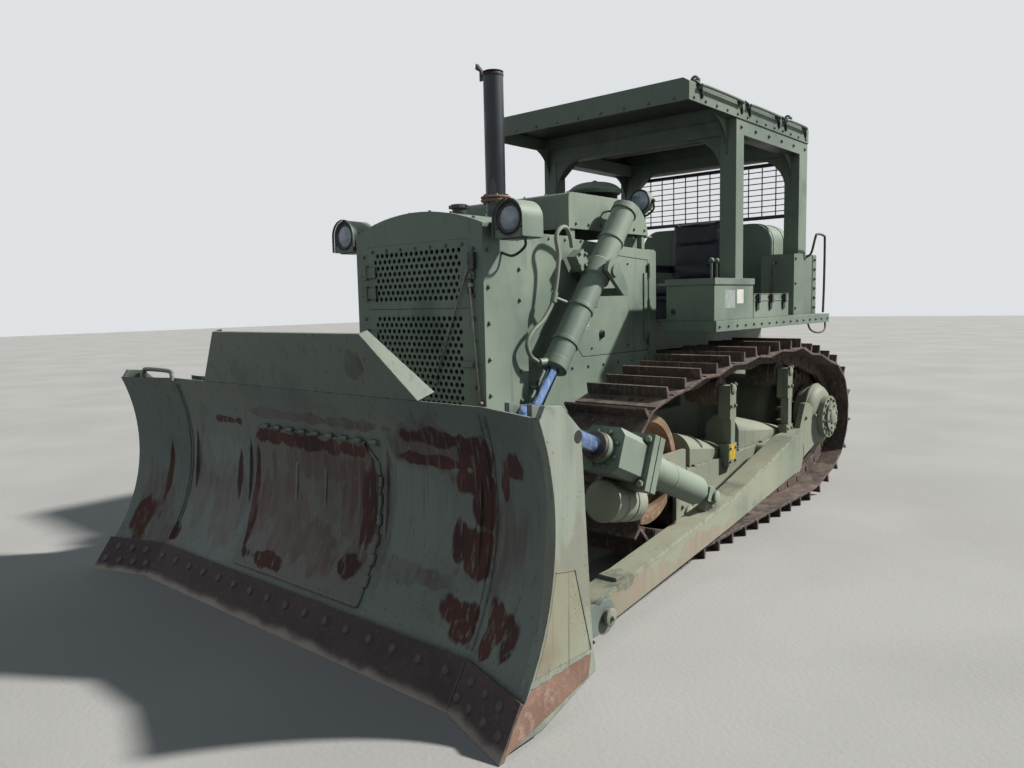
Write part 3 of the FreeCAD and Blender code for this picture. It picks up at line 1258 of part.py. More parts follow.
def build_blade():
    half = S.blade_half
    tip = S.blade_half + S.wing_span
    lead = S.wing_lead
    middle = Part.makeLoft([moldboard_wire(-half, 0), moldboard_wire(half, 0)], True, True)
    wings = [Part.makeLoft([moldboard_wire(side * half, 0), moldboard_wire(side * tip, lead)], True, True)
             for side in (-1, 1)]
    board = shaped("moldboard", middle.multiFuse(wings).removeSplitter())
    back = -S.blade_reach + S.blade_depth
    inside = S.moldboard_plate / 2
    beams = []
    low_beam = (120, 470)
    high_beam = (S.blade_height - 288, S.blade_height - 58)
    for index, (low, high) in enumerate((low_beam, high_beam)):
        mid = (low + high) / 2
        profile = [
            (face_y(low + 60, 0, inside), low + 60), (back, low), (back, high), (face_y(high, 0, inside), high),
            ((face_y(mid, 0, inside), mid), (face_y(low + 60, 0, inside), low + 60)),
        ]
        beams.append(padded(f"blade_beam_{index}", "YZ", [profile[:-1]], f"2 * blade_half + {S.wing_span}",
                            f"-blade_half - {S.wing_span / 2}"))
    ribs = []
    for index, x in enumerate((-1240, -620, -140, 120, 600, 1220)):
        foot = low_beam[1] - 10
        head = high_beam[0] + 10
        profile = [
            (face_y(foot, 0, inside), foot), (back - 40, foot), (back - 40, head), (face_y(head, 0, inside), head),
        ]
        ribs.append(padded(f"blade_rib_{index}", "YZ", [profile], "20", str(x)))
    foot, knee, mid, top = section_points(lead * (1 - S.end_plate / S.wing_span))
    plate = [
        foot, knee, (mid, top), (top[0] + 30, top[1] + 45), (back - 190, S.blade_height + 35),
        (back - 66, S.blade_height - 75), (back, 220), (back + 20, 130), (foot[0] + 190, 25),
    ]
    ends = [
        padded("end_plate_left", "YZ", [plate], "end_plate", "blade_half + wing_span - end_plate"),
        padded("end_plate_right", "YZ", [plate], "end_plate", "-blade_half - wing_span"),
    ]
    brackets = blade_brackets(back)
    node(fused("blade", board, *beams, *ribs, *ends, *brackets), "blade")
    low = face_y(S.blade_height - 2, 0, 0)
    spill = []
    lean = S.spill_lean
    high = S.spill_top
    foot_z = S.blade_height
    length = math.hypot(lean, high - foot_z)
    normal = Vector(0, (high - foot_z) / length, lean / length)
    corners = [
        Vector(-S.spill_foot_half, low, foot_z), Vector(S.spill_foot_half, low, foot_z),
        Vector(S.spill_top_half, low - lean, high), Vector(-S.spill_top_half, low - lean, high),
    ]
    spill.append(Part.Face(Part.makePolygon(corners + corners[:1])).extrude(normal * 16))
    for a, b in ((corners[1], corners[2]), (corners[0], corners[3])):
        deep = normal * S.spill_flange
        flange = Part.Face(Part.makePolygon([a, b, b + deep * 0.5, a + deep, a]))
        inward = Vector(-12 if a.x > 0 else 12, 0, 0)
        spill.append(flange.extrude(inward))
    node(shaped("spill_guard", spill[0].multiFuse(spill[1:])), "spill_guard")
    gap = 1.0
    share = gap / S.wing_span
    edges = [Part.makeLoft([edge_polygon(-half, 0), edge_polygon(half, 0)], True, True)]
    for side in (-1, 1):
        edges.append(Part.makeLoft([edge_polygon(side * (half + gap), lead * share), edge_polygon(side * tip, lead)],
                                   True, True))
    node(shaped("cutting_edge", edges[0]), "cutting_edge")
    node(shaped("end_bits", Part.makeCompound(edges[1:])), "end_bits")
    return back


BLADE_BACK = build_blade()


def build_arm():
    """Push arm: a tapered box with a knee, a pinned eye in front and a socket behind."""
    pin = (-S.arm_pin_reach, S.arm_pin_height)
    half = S.arm_front_depth / 2
    knee = -S.arm_knee_reach
    rear = -S.arm_trunnion_reach
    side = [
        (pin[0], pin[1] + half), (knee, S.arm_knee_top), (rear - 60, S.arm_rear_top),
        (rear + 60, S.arm_rear_top),
        ((rear + 125, S.arm_trunnion_height), (rear + 60, S.arm_rear_top - S.arm_rear_depth)),
        (rear - 60, S.arm_rear_top - S.arm_rear_depth), (knee, S.arm_knee_top - S.arm_knee_depth),
        (pin[0], pin[1] - half), ((pin[0] - half, pin[1]), (pin[0], pin[1] + half)),
    ]
    beam = padded("arm_beam", "YZ", [side[1:]], "arm_outer - arm_inner", "arm_inner")
    socket = doc.addObject("Part::Sphere", "arm_socket")
    bind(socket, Radius="arm_ball + 0.1")
    place(socket, "(arm_inner + arm_outer) / 2", "-arm_trunnion_reach", "arm_trunnion_height")
    neck = rod("arm_neck", "x", "arm_inner - 10", "-arm_trunnion_reach", "arm_trunnion_height", "58", "80")
    eye = rod("arm_eye", "x", "arm_inner - 10", "-arm_pin_reach", "arm_pin_height",
              "arm_pin_radius + pin_clearance", "arm_outer - arm_inner + 20")
    brace_hole = rod("arm_brace_hole", "x", "brace_side - 60", "-brace_rear_reach", "brace_rear_height",
                     "25 + pin_clearance", "120")
    foot_z = S.arm_knee_top
    brace = (-S.brace_rear_reach, S.brace_rear_height)
    lug = padded("arm_brace_lug", "YZ", [[
        (brace[0] - 75, foot_z - 80), (brace[0] - 60, brace[1]), ((brace[0], brace[1] + 60), (brace[0] + 60, brace[1])),
        (brace[0] + 110, foot_z - 60),
    ]], "50", "brace_side - 25")
    both_sides(cut("push_arm", fused("arm_solid", beam, lug), socket, neck, eye, brace_hole), "push_arm")


build_arm()


def aim(things, start, end):
    """Turn pieces made along +Z from the origin so that they run from start to end, (y, z) points."""
    angle = -math.degrees(math.atan2(start[0] - end[0], end[1] - start[1]))
    move = FreeCAD.Placement(Vector(0, start[0], start[1]), FreeCAD.Rotation(Vector(1, 0, 0), -angle))
    doc.recompute()
    for thing in things:
        base = thing.Placement
        for axis in "xyz":
            thing.setExpression("Placement.Base." + axis, None)
        thing.Placement = move.multiply(base)
    return things


def build_lift_cylinders():
    """Barrel with its trunnion ring, rod with its eye, and the yoke on the side of the hood."""
    pivot = (-S.lift_reach, S.lift_height)
    eye = (-S.eye_reach, S.eye_height)
    reach = math.dist(pivot, eye)
    r = S.barrel_radius
    bore = r - S.barrel_wall
    top = -S.barrel_above
    low = S.barrel_below
    neck = S.rod_radius + S.seat_gap
    barrel = turned("barrel_tube", [
        (top, 0), (top, r + 8), (top + 45, r + 8), (top + 45, r), (-70, r), (-55, r + 16), (55, r + 16), (70, r),
        (low - 70, r), (low - 70, r + 4), (low - 10, r + 4), (low, r - 10), (low, neck), (low - 60, neck),
        (low - 60, bore), (top + 45, bore), (top + 45, 0),
    ], "z", "lift_side", "0", "0")
    pin = rod("barrel_trunnion", "x", "hood_half + 3", "0", "0", "trunnion_radius", "2 * (lift_side - hood_half)")
    hole = rod("barrel_clear", "z", "lift_side", "0", "-80", "barrel_radius - barrel_wall", "160")
    whole = cut("lift_barrel", fused("barrel_solid", barrel, pin), hole)
    bar = rod("rod_bar", "z", "lift_side", "0", f"{reach} - rod_length", "rod_radius", "rod_length - 50")
    piston = rod("rod_piston", "z", "lift_side", "0", f"{reach} - rod_length - 40",
                 "barrel_radius - barrel_wall - seat_gap", "80")
    ring = rod("rod_ring", "x", "lift_side - 40", "0", str(reach), "64", "80")
    ram = fused("lift_rod", bar, piston, ring)
    aim([whole, ram], pivot, eye)
    both_sides(whole, "lift_barrel")
    both_sides(ram, "lift_rod")
    y, z = pivot
    cheek = [
        (y + 105, z - 155), (y + 155, z - 155), (y + 155, z - 100), (y + 60, z + 47), ((y - 20, z + 74), (y - 76, z)),
    ]
    outer = "lift_side + barrel_radius + 24"
    plates = [
        padded("yoke_inner", "YZ", [cheek], "18", "hood_half"),
        padded("yoke_outer", "YZ", [cheek], "28", outer),
    ]
    bar = box("yoke_bar", "hood_half", str(y + 105), str(z - 155), outer + " + 28 - hood_half", "50", "50")
    hole = rod("yoke_bore", "x", "hood_half - 10", "-lift_reach", "lift_height", "trunnion_radius + pin_clearance",
               "400")
    both_sides(cut("lift_yoke", fused("yoke_solid", bar, *plates), hole), "lift_yoke")


build_lift_cylinders()


def build_braces():
    """Left: tilt cylinder in its flanged housing. Right: screw brace. Both from the arm to the blade's back."""
    start = (-S.brace_rear_reach, S.brace_rear_height)
    end = (BLADE_BACK + 100, S.brace_front_height)
    span = math.dist(start, end)
    fork = box("brace_fork_block", "brace_side - 50", "-42", "-45", "100", "84", "125")
    slot = box("brace_fork_slot", "brace_side - 27", "-60", "-60", "54", "120", "124")
    pin = rod("brace_foot_pin", "x", "brace_side - 58", "0", "0", "25", "116")
    foot = fused("brace_foot", cut("brace_fork", fork, slot), pin)
    tube_start = span * 0.09
    cone_start = span * 0.32
    flare_start = span * 0.455
    plate_at = span * 0.49
    head_at = span * 0.55
    gland_at = span * 0.68
    gland_end = span * 0.71
    tube = turned("tilt_tube", [
        (70, 0), (70, 42), (tube_start, 42), (tube_start, S.brace_radius - 15), (tube_start + 20, S.brace_radius),
        (cone_start, S.brace_radius), (flare_start, S.brace_radius + 7), (plate_at - 25, S.brace_radius + 31),
        (plate_at, S.brace_radius + 31),
        (plate_at, 0),
    ], "z", "brace_side", "0", "0")
    half = S.tilt_flange / 2
    depth = (head_at - plate_at) * 0.46
    plates = []
    for index, start_at in enumerate((plate_at, head_at - depth)):
        plates.append(box(f"tilt_flange_{index}", "brace_side - tilt_flange / 2", str(-half), str(start_at),
                          "tilt_flange", "tilt_flange", str(depth)))
    joint = rod("tilt_joint", "z", "brace_side", "0", str(plate_at), str(half - 18), str(head_at - plate_at))
    side = half * 0.8
    head = padded("tilt_head", "XY", [[
        (-side, -side + 35), (-side, side - 35), (-side + 35, side), (side - 35, side), (side, side - 35),
        (side, -side + 35), (side - 35, -side), (-side + 35, -side),
    ]], str(gland_at - head_at), str(head_at))
    head.setExpression("Placement.Base.x", "Sizes.brace_side")
    gland = rod("tilt_gland", "z", "brace_side", "0", str(gland_at), "75", str(gland_end - gland_at))
    chrome = rod("tilt_bar", "z", "brace_side", "0", str(gland_end), "brace_rod", str(span - gland_end - 40))
    eye = rod("tilt_eye", "x", "brace_side - 40", "0", str(span), "60", "80")
    eye_bore = rod("tilt_eye_bore", "x", "brace_side - 50", "0", str(span), "30 + pin_clearance", "100")
    housing = fused("tilt_cylinder", foot, tube, *plates, joint, head, gland)
    ram = cut("tilt_rod", fused("tilt_ram", chrome, eye), eye_bore)
    sleeve = turned("screw_sleeve", [
        (70, 0), (70, 52), (span * 0.55, 52), (span * 0.55, 70), (span * 0.60, 70), (span * 0.60, 40),
        (span - 40, 40), (span - 40, 0),
    ], "z", "brace_side", "0", "0")
    brace = cut("screw_brace_left", fused("screw_solid", foot, sleeve, eye), eye_bore)
    aim([housing, ram, brace], start, end)
    node(housing, "tilt_cylinder")
    node(ram, "tilt_rod")
    node(mirrored("screw_brace", brace), "screw_brace")


build_braces()


def write_all():
    reach = S.blade_reach + S.wing_lead
    shift = (reach - S.hitch_reach) / 2
    doc.recompute()
    movable = {thing.Name: thing for thing in nodes if thing.TypeId != "Part::Mirroring"}
    for thing in nodes:
        source = getattr(thing, "Source", None)
        if source is not None:
            movable[source.Name] = source
    for thing in movable.values():
        base = thing.Placement.Base
        thing.setExpression("Placement.Base.y", None)
        thing.Placement = FreeCAD.Placement(Vector(base.x, base.y + shift, base.z), thing.Placement.Rotation)
    doc.recompute()
    for thing in doc.Objects:
        bad = [word for word in thing.State if word in ("Invalid", "Error")]
        if bad:
            raise RuntimeError(f"{thing.Name}: {thing.State}")
    os.makedirs("parts", exist_ok=True)
    for thing in nodes:
        if thing.Shape.isNull() or not thing.Shape.isValid():
            raise RuntimeError(f"{thing.Label} is not a valid shape")
    for thing in nodes:
        thing.Shape.exportStep(os.path.join("parts", thing.Label + ".step"))
    print("nodes", len(nodes), "shift", shift, "idler", IDLER_REACH)


write_all()
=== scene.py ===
import json
import math
import random

import bmesh
import bpy
from mathutils import Matrix, Vector
from mathutils.bvhtree import BVHTree


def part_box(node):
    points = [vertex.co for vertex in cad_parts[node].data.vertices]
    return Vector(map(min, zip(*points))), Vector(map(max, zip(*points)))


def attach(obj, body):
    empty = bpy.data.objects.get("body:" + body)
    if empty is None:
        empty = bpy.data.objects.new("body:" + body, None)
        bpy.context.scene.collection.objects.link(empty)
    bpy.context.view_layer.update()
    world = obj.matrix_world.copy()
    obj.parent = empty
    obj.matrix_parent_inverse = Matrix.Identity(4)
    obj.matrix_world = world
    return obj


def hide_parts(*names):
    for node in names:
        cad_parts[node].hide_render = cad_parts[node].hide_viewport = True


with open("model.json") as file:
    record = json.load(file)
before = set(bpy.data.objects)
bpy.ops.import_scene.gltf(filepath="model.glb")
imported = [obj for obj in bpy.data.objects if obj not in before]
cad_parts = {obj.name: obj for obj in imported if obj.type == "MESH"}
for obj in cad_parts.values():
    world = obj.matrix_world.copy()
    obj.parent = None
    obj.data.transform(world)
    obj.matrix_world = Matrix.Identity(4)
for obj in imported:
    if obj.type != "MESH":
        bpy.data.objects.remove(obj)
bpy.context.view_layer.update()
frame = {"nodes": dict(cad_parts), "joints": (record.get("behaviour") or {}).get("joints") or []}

NODES = frame["nodes"]
random.seed(7)

# Places are in metres from the sprocket axle: x to the machine's left, y to its rear, z up from the ground.
SPROCKET_LOW, SPROCKET_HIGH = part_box("sprocket_left")
AXLE_Y = (SPROCKET_LOW.y + SPROCKET_HIGH.y) / 2
HALF_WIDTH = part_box("blade")[1].x
TRACK_LOW, TRACK_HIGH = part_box("track_left")
TRACK_MIDDLE = (TRACK_LOW.x + TRACK_HIGH.x) / 2


def at(x, y, z):
    """A place given from the sprocket axle, as a place in the scene."""
    return Vector((x, y + AXLE_Y, z))


# Shader building


class Shader:
    """A node material put together from short calls; numbers and sockets both go in as inputs."""

    def __init__(self, name):
        self.material = bpy.data.materials.new(name)
        self.material.use_nodes = True
        self.tree = self.material.node_tree
        self.tree.nodes.clear()
        self.surface = self.add("ShaderNodeBsdfPrincipled")
        output = self.add("ShaderNodeOutputMaterial")
        self.tree.links.new(self.surface.outputs[0], output.inputs["Surface"])
        self.place = self.add("ShaderNodeTexCoord").outputs["Object"]

    def add(self, kind, inputs=(), **settings):
        node = self.tree.nodes.new(kind)
        for key, value in settings.items():
            setattr(node, key, value)
        for key, value in dict(inputs).items():
            self.plug(node.inputs[key], value)
        return node

    def plug(self, socket, value):
        if isinstance(value, bpy.types.NodeSocket):
            self.tree.links.new(value, socket)
        elif isinstance(value, (tuple, list)) and len(value) == 3 and socket.type == "RGBA":
            socket.default_value = (*value, 1)
        else:
            socket.default_value = value

    def set(self, **inputs):
        for key, value in inputs.items():
            self.plug(self.surface.inputs[key.replace("_", " ")], value)

    def math(self, operation, first, second=0.0):
        return self.add("ShaderNodeMath", {0: first, 1: second}, operation=operation).outputs[0]

    def times(self, first, second):
        return self.math("MULTIPLY", first, second)

    def inverse(self, value):
        return self.math("SUBTRACT", 1.0, value)

    def noise(self, scale, detail=4.0, stretch=(1, 1, 1), shift=(0, 0, 0), distortion=0.0):
        spot = self.add("ShaderNodeMapping",
                        {"Vector": self.place, "Scale": stretch, "Location": shift}).outputs[0]
        return self.add("ShaderNodeTexNoise", {
            "Vector": spot, "Scale": scale, "Detail": detail, "Distortion": distortion,
        }).outputs[0]

    def step(self, value, low, high):
        """0 below low, 1 above high, smooth between."""
        return self.add("ShaderNodeMapRange", {
            "Value": value, "From Min": low, "From Max": high,
        }, interpolation_type="SMOOTHSTEP").outputs[0]

    def mix(self, share, first, second):
        """Between two colours by a share from 0 to 1."""
        return self.add("ShaderNodeMix", {0: share, 6: first, 7: second}, data_type="RGBA").outputs[2]

    def lay(self, colour, tone, mask, share):
        """A tone over a colour, by a share of a mask."""
        return self.mix(self.times(mask, share), colour, tone)

    def split(self, vector):
        return self.add("ShaderNodeSeparateXYZ", {0: vector}).outputs

    def blend(self, first, second, share):
        """Between two numbers by a share from 0 to 1."""
        return self.add("ShaderNodeMix", {0: share, 2: first, 3: second}, data_type="FLOAT").outputs[0]

    def patch(self, centre, reach, ragged):
        """1 inside an ellipsoid with a ragged edge, 0 outside."""
        offset = self.add("ShaderNodeVectorMath", {0: self.place, 1: centre},
                          operation="SUBTRACT").outputs[0]
        shrunk = self.add("ShaderNodeVectorMath", {0: offset, 1: reach}, operation="DIVIDE").outputs[0]
        far = self.add("ShaderNodeVectorMath", {0: shrunk}, operation="LENGTH").outputs["Value"]
        torn = self.math("ADD", far, self.times(self.math("SUBTRACT", ragged, 0.5), 2.6))
        return self.inverse(self.step(torn, 0.75, 1.0))

    def most(self, values):
        result = values[0]
        for value in values[1:]:
            result = self.math("MAXIMUM", result, value)
        return result

    def soft_normal(self, radius):
        return self.add("ShaderNodeBevel", {"Radius": radius}, samples=4).outputs[0]

    def edges(self, normal, reach=0.12):
        """1 on outer and inner edges, 0 on flats."""
        true = self.add("ShaderNodeNewGeometry").outputs["Normal"]
        dot = self.add("ShaderNodeVectorMath", {0: normal, 1: true},
                       operation="DOT_PRODUCT").outputs["Value"]
        return self.step(self.inverse(dot), 0.004, reach)

    def corners(self, reach):
        """1 in corners and gaps, where ambient occlusion finds shade, 0 in the open."""
        open_share = self.add("ShaderNodeAmbientOcclusion", {"Distance": reach}, samples=4).outputs["AO"]
        return self.inverse(self.step(open_share, 0.25, 0.85))

    def upward(self):
        z = self.split(self.add("ShaderNodeNewGeometry").outputs["Normal"])[2]
        return self.step(z, 0.55, 0.95)

    def bump(self, height, strength, distance, normal=None):
        inputs = {"Height": height, "Strength": strength, "Distance": distance}
        if normal is not None:
            inputs["Normal"] = normal
        return self.add("ShaderNodeBump", inputs).outputs[0]


SAGE = (0.168, 0.226, 0.186)
SAGE_FADED = (0.262, 0.320, 0.258)
SAGE_DEEP = (0.098, 0.138, 0.118)
RUST = (0.052, 0.026, 0.025)
RUST_LIGHT = (0.112, 0.050, 0.040)
# Dark tone for the dirt runs, and also for painted shade in corners and gaps.
DIRT_AND_SHADE = (0.030, 0.028, 0.024)
DUST = (0.300, 0.275, 0.205)
STEEL = (0.30, 0.29, 0.27)
# Painted shade for faces turned towards the ground.
UNDERSIDE_SHADE = (0.020, 0.024, 0.021)


def paint(name, rusting=0.35, dusting=0.45, patches=(), stains=(), scuffed=False, base=SAGE,
          faded=SAGE_FADED,
          deep=SAGE_DEEP, roughness=0.52, shaded=0.0):
    """Old sprayed paint: faded, chalky, chipped to rust on its edges, darkened in its corners with painted
    shade, dusty on top.

    patches are rust through the paint and stains other colours on it; shaded paints shade onto what faces
    the ground.
    """
    s = Shader(name)
    soft = s.soft_normal(0.006)
    cloud = s.noise(1.1, 5.0)
    colour = s.mix(s.step(cloud, 0.36, 0.66), base, faded)
    colour = s.lay(colour, deep, s.step(s.noise(2.7, 6.0, shift=(4, 1, 2)), 0.52, 0.74), 0.7)
    runs = s.noise(7.0, 5.0, stretch=(3.0, 3.0, 0.22))
    colour = s.lay(colour, DIRT_AND_SHADE, s.step(runs, 0.57, 0.80), 0.34)
    pale_runs = s.noise(9.0, 4.0, stretch=(3.0, 3.0, 0.25), shift=(9, 2, 5))
    colour = s.lay(colour, DUST, s.step(pale_runs, 0.58, 0.80), 0.30)
    fine = s.noise(85.0, 3.0)
    speck = s.times(s.step(fine, 0.62, 0.72), s.step(s.noise(5.0, 3.0, shift=(3, 7, 1)), 0.46, 0.62))
    chips = s.times(s.edges(soft), s.step(s.noise(26.0, 5.0), 0.47, 0.60))
    corner = s.corners(0.10)
    rust_mask = s.most([
        s.times(speck, rusting),
        s.times(chips, min(1.0, rusting + 0.45)),
        s.times(s.times(corner, s.step(s.noise(13.0, 4.0), 0.52, 0.68)), rusting),
    ])
    ragged = s.noise(6.5, 10.0, stretch=(1.5, 1.0, 0.42), distortion=0.25) if patches or stains else None
    for tone, share, spots in stains:
        cover = s.most([s.patch(at(*centre), reach, ragged) for centre, reach in spots])
        colour = s.mix(s.times(cover, s.blend(share * 0.45, share, s.step(runs, 0.35, 0.65))), colour, tone)
    rust_tone = s.mix(s.step(s.noise(3.3, 8.0, shift=(2, 2, 6)), 0.42, 0.60), RUST, RUST_LIGHT)
    if patches:
        torn = s.noise(24.0, 8.0, stretch=(2.2, 1.4, 0.20))
        spread = s.most([s.patch(at(*centre), reach, ragged) for centre, reach in patches])
        holes = s.blend(1.0, s.step(torn, 0.30, 0.46), 0.75)
        rust_mask = s.most([rust_mask, s.times(spread, holes)])
    if scuffed:
        scrape = s.noise(16.0, 7.0, stretch=(2.2, 2.2, 0.06))
        colour = s.lay(colour, (0.240, 0.250, 0.230), s.step(scrape, 0.54, 0.74), 0.40)
        dark_scrape = s.noise(21.0, 7.0, stretch=(2.6, 2.6, 0.05), shift=(5, 3, 9))
        colour = s.lay(colour, (0.070, 0.048, 0.046), s.step(dark_scrape, 0.58, 0.74), 0.6)
    # Painted shade: darker in the corners and gaps that ambient occlusion finds.
    colour = s.lay(colour, DIRT_AND_SHADE, corner, 0.62)
    dust = s.times(s.upward(), s.step(s.noise(6.0, 6.0, shift=(1, 1, 8)), 0.35, 0.75))
    colour = s.lay(colour, DUST, dust, dusting)
    colour = s.mix(rust_mask, colour, rust_tone)
    # Painted shade: faces turned towards the ground are darkened by the shaded share.
    if shaded:
        z = s.split(s.add("ShaderNodeNewGeometry").outputs["Normal"])[2]
        below = s.inverse(s.step(z, -0.7, 0.1))
        colour = s.lay(colour, UNDERSIDE_SHADE, below, shaded)
    s.set(Base_Color=colour, Metallic=0.0, Specular_IOR_Level=0.42)
    shine = s.blend(roughness - 0.10, roughness + 0.16, s.step(cloud, 0.3, 0.7))
    s.set(Roughness=s.blend(shine, 0.88, s.math("MAXIMUM", rust_mask, s.times(dust, dusting))))
    height = s.math("ADD", s.times(s.noise(240.0, 2.0), 0.10), s.noise(3.4, 3.0))
    height = s.math("SUBTRACT", height, s.times(rust_mask, 0.12))
    s.set(Normal=s.bump(height, 0.55, 0.006, soft))
    return s.material


def worn_steel(name, dark, mid, pale, corner_shade=0.5):
    """Unpainted steel: rust brown with rubbed bright edges, and painted shade in its corners."""
    s = Shader(name)
    soft = s.soft_normal(0.005)
    colour = s.mix(s.step(s.noise(3.2, 7.0), 0.34, 0.66), dark, mid)
    colour = s.lay(colour, pale, s.step(s.noise(29.0, 6.0, shift=(2, 5, 3)), 0.48, 0.70), 0.55)
    scrape = s.step(s.noise(24.0, 6.0, stretch=(2.0, 2.0, 0.12)), 0.55, 0.72)
    colour = s.lay(colour, STEEL, scrape, 0.35)
    rubbed = s.times(s.edges(soft, 0.20), s.step(s.noise(15.0, 4.0, shift=(7, 7, 1)), 0.38, 0.62))
    colour = s.lay(colour, STEEL, rubbed, 0.75)
    corner = s.corners(0.08)
    # Painted shade: darker in the corners and gaps that ambient occlusion finds.
    colour = s.lay(colour, DIRT_AND_SHADE, corner, corner_shade)
    dust = s.times(s.upward(), s.step(s.noise(8.0, 5.0), 0.40, 0.74))
    colour = s.lay(colour, DUST, dust, 0.40)
    bare = s.math("MAXIMUM", rubbed, s.times(scrape, 0.5))
    s.set(Base_Color=colour, Metallic=s.times(bare, 0.35))
    s.set(Roughness=s.blend(0.86, 0.55, s.math("MAXIMUM", rubbed, scrape)))
    height = s.math("ADD", s.noise(110.0, 5.0), s.times(s.noise(9.0, 4.0), 1.4))
    s.set(Normal=s.bump(height, 0.6, 0.0035, soft))
    return s.material


def plain(name, colour, other, roughness=0.5, metallic=0.0, scale=30.0):
    """Two close tones in a fine grain, for rubber, plastic, blank plates and small fittings, with painted
    shade in their corners.
    """
    s = Shader(name)
    grain = s.noise(scale, 5.0)
    tone = s.mix(s.step(grain, 0.35, 0.70), colour, other)
    # Painted shade: darker in the corners that ambient occlusion finds.
    corner = s.corners(0.04)
    s.set(Base_Color=s.mix(s.times(corner, 0.4), tone, DIRT_AND_SHADE), Metallic=metallic)
    s.set(Roughness=s.blend(roughness - 0.08, roughness + 0.12, grain))
    s.set(Normal=s.bump(s.noise(scale * 6, 3.0), 0.25, 0.0015, s.soft_normal(0.002)))
    return s.material


def edge_iron():
    """Cutting edges: brown plate, rubbed bright and gritty along the ground."""
    s = Shader("edge_iron")
    soft = s.soft_normal(0.005)
    height = s.split(s.place)[2]
    colour = s.mix(s.step(s.noise(4.0, 7.0), 0.36, 0.66), (0.046, 0.035, 0.040), (0.082, 0.054, 0.054))
    colour = s.lay(colour, (0.150, 0.105, 0.085), s.step(s.noise(40.0, 6.0), 0.52, 0.70), 0.5)
    gritty = s.math("ADD", height, s.times(s.noise(7.0, 6.0), 0.07))
    low = s.inverse(s.step(gritty, 0.045, 0.085))
    colour = s.lay(colour, (0.255, 0.225, 0.190), low, 0.80)
    rubbed = s.edges(soft, 0.16)
    colour = s.lay(colour, STEEL, rubbed, 0.45)
    s.set(Base_Color=colour, Metallic=s.times(low, 0.35), Roughness=s.blend(0.78, 0.50, low))
    s.set(Normal=s.bump(s.math("ADD", s.noise(90.0, 6.0), s.noise(14.0, 5.0)), 0.55, 0.004, soft))
    return s.material


def chrome():
    """A polished rod with faint marks along it, its colour tinted blue as a painted reflection of a blue
    sky.
    """
    s = Shader("rod_chrome_bright")
    drag = s.noise(60.0, 4.0, stretch=(1.0, 1.0, 0.08))
    # The blue base colour is a painted reflection of sky.
    s.set(Base_Color=s.mix(s.step(drag, 0.4, 0.7), (0.22, 0.34, 0.62), (0.40, 0.50, 0.70)), Metallic=1.0)
    s.set(Roughness=s.blend(0.14, 0.30, drag))
    return s.material


def vinyl():
    """Dark navy seat cover with a fine grain, soft folds and some dust."""
    s = Shader("navy_vinyl")
    grain = s.add("ShaderNodeTexVoronoi", {"Vector": s.place, "Scale": 420.0}).outputs["Distance"]
    fold = s.noise(14.0, 5.0, distortion=0.8)
    tone = s.mix(s.step(s.noise(5.0, 5.0), 0.35, 0.70), (0.010, 0.016, 0.034), (0.030, 0.036, 0.052))
    tone = s.lay(tone, DUST, s.upward(), 0.20)
    s.set(Base_Color=tone, Roughness=s.blend(0.38, 0.62, s.noise(9.0, 4.0)))
    s.set(Normal=s.bump(s.math("ADD", s.times(grain, 0.12), fold), 0.45, 0.003))
    return s.material


def lens_glass():
    """Fluted lamp glass."""
    s = Shader("lens_glass")
    flutes = s.add("ShaderNodeTexWave",
                   {"Vector": s.place, "Scale": 26.0, "Distortion": 0.4}).outputs["Fac"]
    s.set(Base_Color=s.mix(s.step(s.noise(12.0, 4.0), 0.4, 0.7), (0.30, 0.40, 0.50), (0.15, 0.20, 0.26)))
    s.set(Roughness=0.08, Metallic=0.0, Coat_Weight=0.8)
    s.set(Normal=s.bump(flutes, 0.35, 0.004))
    return s.material


MOLDBOARD_RUST = (
    # centre (x, y, z), reach (x, y, z)
    ((1.02, -4.33, 1.045), (0.28, 0.5, 0.040)),
    ((1.22, -4.33, 0.99), (0.14, 0.5, 0.090)),
    ((0.98, -4.33, 0.935), (0.26, 0.5, 0.030)),
    ((1.19, -4.33, 0.86), (0.15, 0.5, 0.075)),
    ((1.24, -4.33, 0.75), (0.10, 0.5, 0.100)),
    ((1.19, -4.33, 0.60), (0.13, 0.5, 0.105)),
    ((1.23, -4.33, 0.51), (0.085, 0.5, 0.070)),
    ((1.16, -4.33, 0.32), (0.13, 0.5, 0.065)),
    ((1.23, -4.33, 0.25), (0.075, 0.5, 0.060)),
    ((1.46, -4.30, 0.97), (0.13, 0.5, 0.075)),
    ((1.40, -4.33, 0.90), (0.055, 0.5, 0.10)),
    ((1.47, -4.40, 0.33), (0.11, 0.5, 0.12)),
    ((1.40, -4.42, 0.24), (0.07, 0.5, 0.06)),
    ((-0.84, -4.33, 0.985), (0.20, 0.5, 0.028)),
    ((-0.72, -4.33, 0.66), (0.030, 0.5, 0.16)),
    ((-1.47, -4.42, 0.60), (0.035, 0.5, 0.20)),
    ((-1.60, -4.45, 0.30), (0.10, 0.5, 0.13)),
    ((-1.28, -4.42, 0.25), (0.06, 0.5, 0.06)),
)
